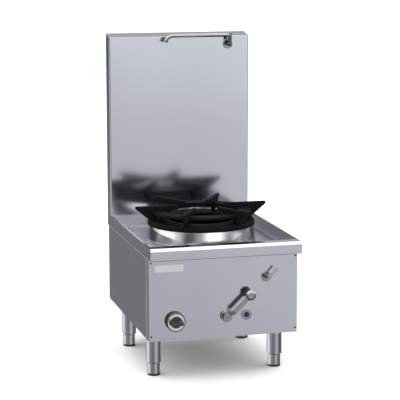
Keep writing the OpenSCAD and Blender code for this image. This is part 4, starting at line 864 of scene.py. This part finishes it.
# Below the horizon, two heights and the brightness at each: near it, far below it, and behind
FADE_NEAR = (-0.13, 0.0, 0.58, 1.0)
FADE_DEEP = (-0.5, -0.2, 0.2, 1.0)
FADE_BEHIND = (-0.18, -0.03, 1.0, 0.5)
# Where the fade changes to the one behind, by y
BEHIND = (0.3, 0.6)
# Reflections of reflections dim, as in a dark room: bounces, then the brightness at each
BOUNCES = (2.0, 5.0, 1.0, 0.1)
# What the camera sees straight is brighter than white
SEEN_STRAIGHT = 4.0
WHITE = (1.0, 1.0, 1.0, 1.0)

FLOOR_REACH, FLOOR_ROUGH = 90.0, 0.9

CAMERA_AT = (-1.57608, -5.90071, 1.70809)
CAMERA_TURN = (math.radians(90 - 9.84), math.radians(0.09), math.radians(-14.96))
CAMERA_LENS, CAMERA_SENSOR = 138.21, 36.0


class BOILER_OT_stage(BoilerOperator, bpy.types.Operator):
    """Floor, soft lights and the camera"""
    bl_idname = "boiler.stage"
    bl_label = "Stage"

    def execute(self, context):
        stage = context.scene.boiler_stage
        self.camera()
        self.floor(stage)
        self.lights(stage)
        return {"FINISHED"}

    def camera(self):
        data = bpy.data.cameras.new("camera")
        data.lens, data.sensor_width = CAMERA_LENS, CAMERA_SENSOR
        cam = bpy.data.objects.new("camera", data)
        cam.location, cam.rotation_euler = CAMERA_AT, CAMERA_TURN
        bpy.context.scene.collection.objects.link(cam)
        bpy.context.scene.camera = cam

    def floor(self, stage):
        """A wide floor that reflections don't show."""
        r = FLOOR_REACH
        mesh = bpy.data.meshes.new("floor")
        mesh.from_pydata([(-r, -r, 0), (r, -r, 0), (r, r, 0), (-r, r, 0)], [], [(0, 1, 2, 3)])
        obj = bpy.data.objects.new("floor", mesh)
        bpy.context.scene.collection.objects.link(obj)
        p = Paint("studio floor")
        p.set(Base_Color=p.shaded(stage.floor, p.use("smears", Scale=1.5)["Mask"], 0.995),
              Roughness=FLOOR_ROUGH)
        clear = p.g.add("ShaderNodeBsdfTransparent").outputs[0]
        glossy = p.g.add("ShaderNodeLightPath").outputs["Is Glossy Ray"]
        both = p.g.add("ShaderNodeMixShader", {0: glossy, 1: p.shader.outputs[0], 2: clear})
        p.g.feed(both.outputs[0], p.mat.node_tree.nodes["Material Output"].inputs["Surface"])
        mesh.materials.append(p.mat)

    def lights(self, stage):
        """A soft surround whose brightness changes with bearing and height, a wide light
        overhead and a soft box at the back."""
        world = bpy.data.worlds.new("studio")
        world.use_nodes = True
        bpy.context.scene.world = world
        g = Graph(world.node_tree)
        way = g.add("ShaderNodeTexCoord").outputs["Generated"]
        x, y, z = g.add("ShaderNodeSeparateXYZ", {0: way}).outputs
        turn = g.math("ARCTAN2", x, g.math("MULTIPLY", y, -1.0))
        lower = g.math("MULTIPLY", self.band(g, turn, SURROUND), self.low(g, x, y, z))
        side = g.between(g.step(z, *RISE), lower, self.band(g, turn, SURROUND_UP))

        over = g.step(g.math("SUBTRACT", z, g.math("MULTIPLY", y, OVERHEAD_LEAN)), *OVERHEAD)
        box = g.math("MULTIPLY", g.step(y, *BACK_BOX_Y), g.step(z, *BACK_BOX_Z))
        box = g.math("MULTIPLY", box, g.step(x, *BACK_BOX_X))
        level = g.between(g.math("MAXIMUM", over, box), side, stage.top)

        path = g.add("ShaderNodeLightPath").outputs
        level = g.math("MULTIPLY", level, g.remap(path["Ray Depth"], *BOUNCES))
        level = g.math("MULTIPLY", level, stage.sky)
        straight = g.math("MULTIPLY", path["Is Camera Ray"], SEEN_STRAIGHT)
        back = world.node_tree.nodes["Background"]
        g.feed(g.math("MAXIMUM", level, straight), back.inputs["Strength"])
        back.inputs["Color"].default_value = WHITE
        bpy.context.scene.view_settings.view_transform = "Standard"

    def band(self, g, turn, levels):
        """Brightness by bearing, from a list of bearings and levels."""
        node = g.add("ShaderNodeValToRGB", {0: g.step(turn, -math.pi, math.pi)})
        ramp = node.color_ramp
        ramp.interpolation = "EASE"
        for k, (degrees, level) in enumerate(levels):
            stop = ramp.elements[k] if k < 2 else ramp.elements.new((degrees + 180) / 360)
            share = level / RAMP_TOP
            stop.color = (share, share, share, 1.0)
        return g.math("MULTIPLY", node.outputs[0], RAMP_TOP)

    def low(self, g, x, y, z):
        """Darkening below the horizon, which leaves the two sides bright and the back lighter
        lower down."""
        fade = g.math("MULTIPLY", g.remap(z, *FADE_NEAR), g.remap(z, *FADE_DEEP))
        fade = g.between(g.math("MULTIPLY", x, x), fade, 1.0)
        return g.between(g.step(y, *BEHIND), fade, g.remap(z, *FADE_BEHIND))


OPERATORS = (
    BOILER_OT_materials, BOILER_OT_hob, BOILER_OT_cabinet, BOILER_OT_splashback,
    BOILER_OT_small_trim, BOILER_OT_legs, BOILER_OT_burner_top, BOILER_OT_burner,
    BOILER_OT_pilot, BOILER_OT_pipework, BOILER_OT_controls, BOILER_OT_spout, BOILER_OT_stage)


class BOILER_PT_panel(bpy.types.Panel):
    """Lists the boiler's pieces and their settings"""
    bl_idname = "BOILER_PT_panel"
    bl_label = "Stock pot boiler"
    bl_space_type = "VIEW_3D"
    bl_region_type = "UI"
    bl_category = "Boiler"

    def draw(self, context):
        for cls in OPERATORS:
            self.layout.operator(cls.bl_idname)
        for name in SETTINGS:
            group = getattr(context.scene, name)
            for key in group.__annotations__:
                self.layout.prop(group, key)


CLASSES = tuple(SETTINGS.values()) + OPERATORS + (BOILER_PT_panel,)


def register():
    for cls in CLASSES:
        bpy.utils.register_class(cls)
    for key, cls in SETTINGS.items():
        setattr(bpy.types.Scene, key, PointerProperty(type=cls))


def unregister():
    for key in SETTINGS:
        delattr(bpy.types.Scene, key)
    for cls in reversed(CLASSES):
        bpy.utils.unregister_class(cls)


def main():
    register()
    for cls in OPERATORS:
        group, name = cls.bl_idname.split(".")
        getattr(getattr(bpy.ops, group), name)()


if __name__ == "__main__":
    main()
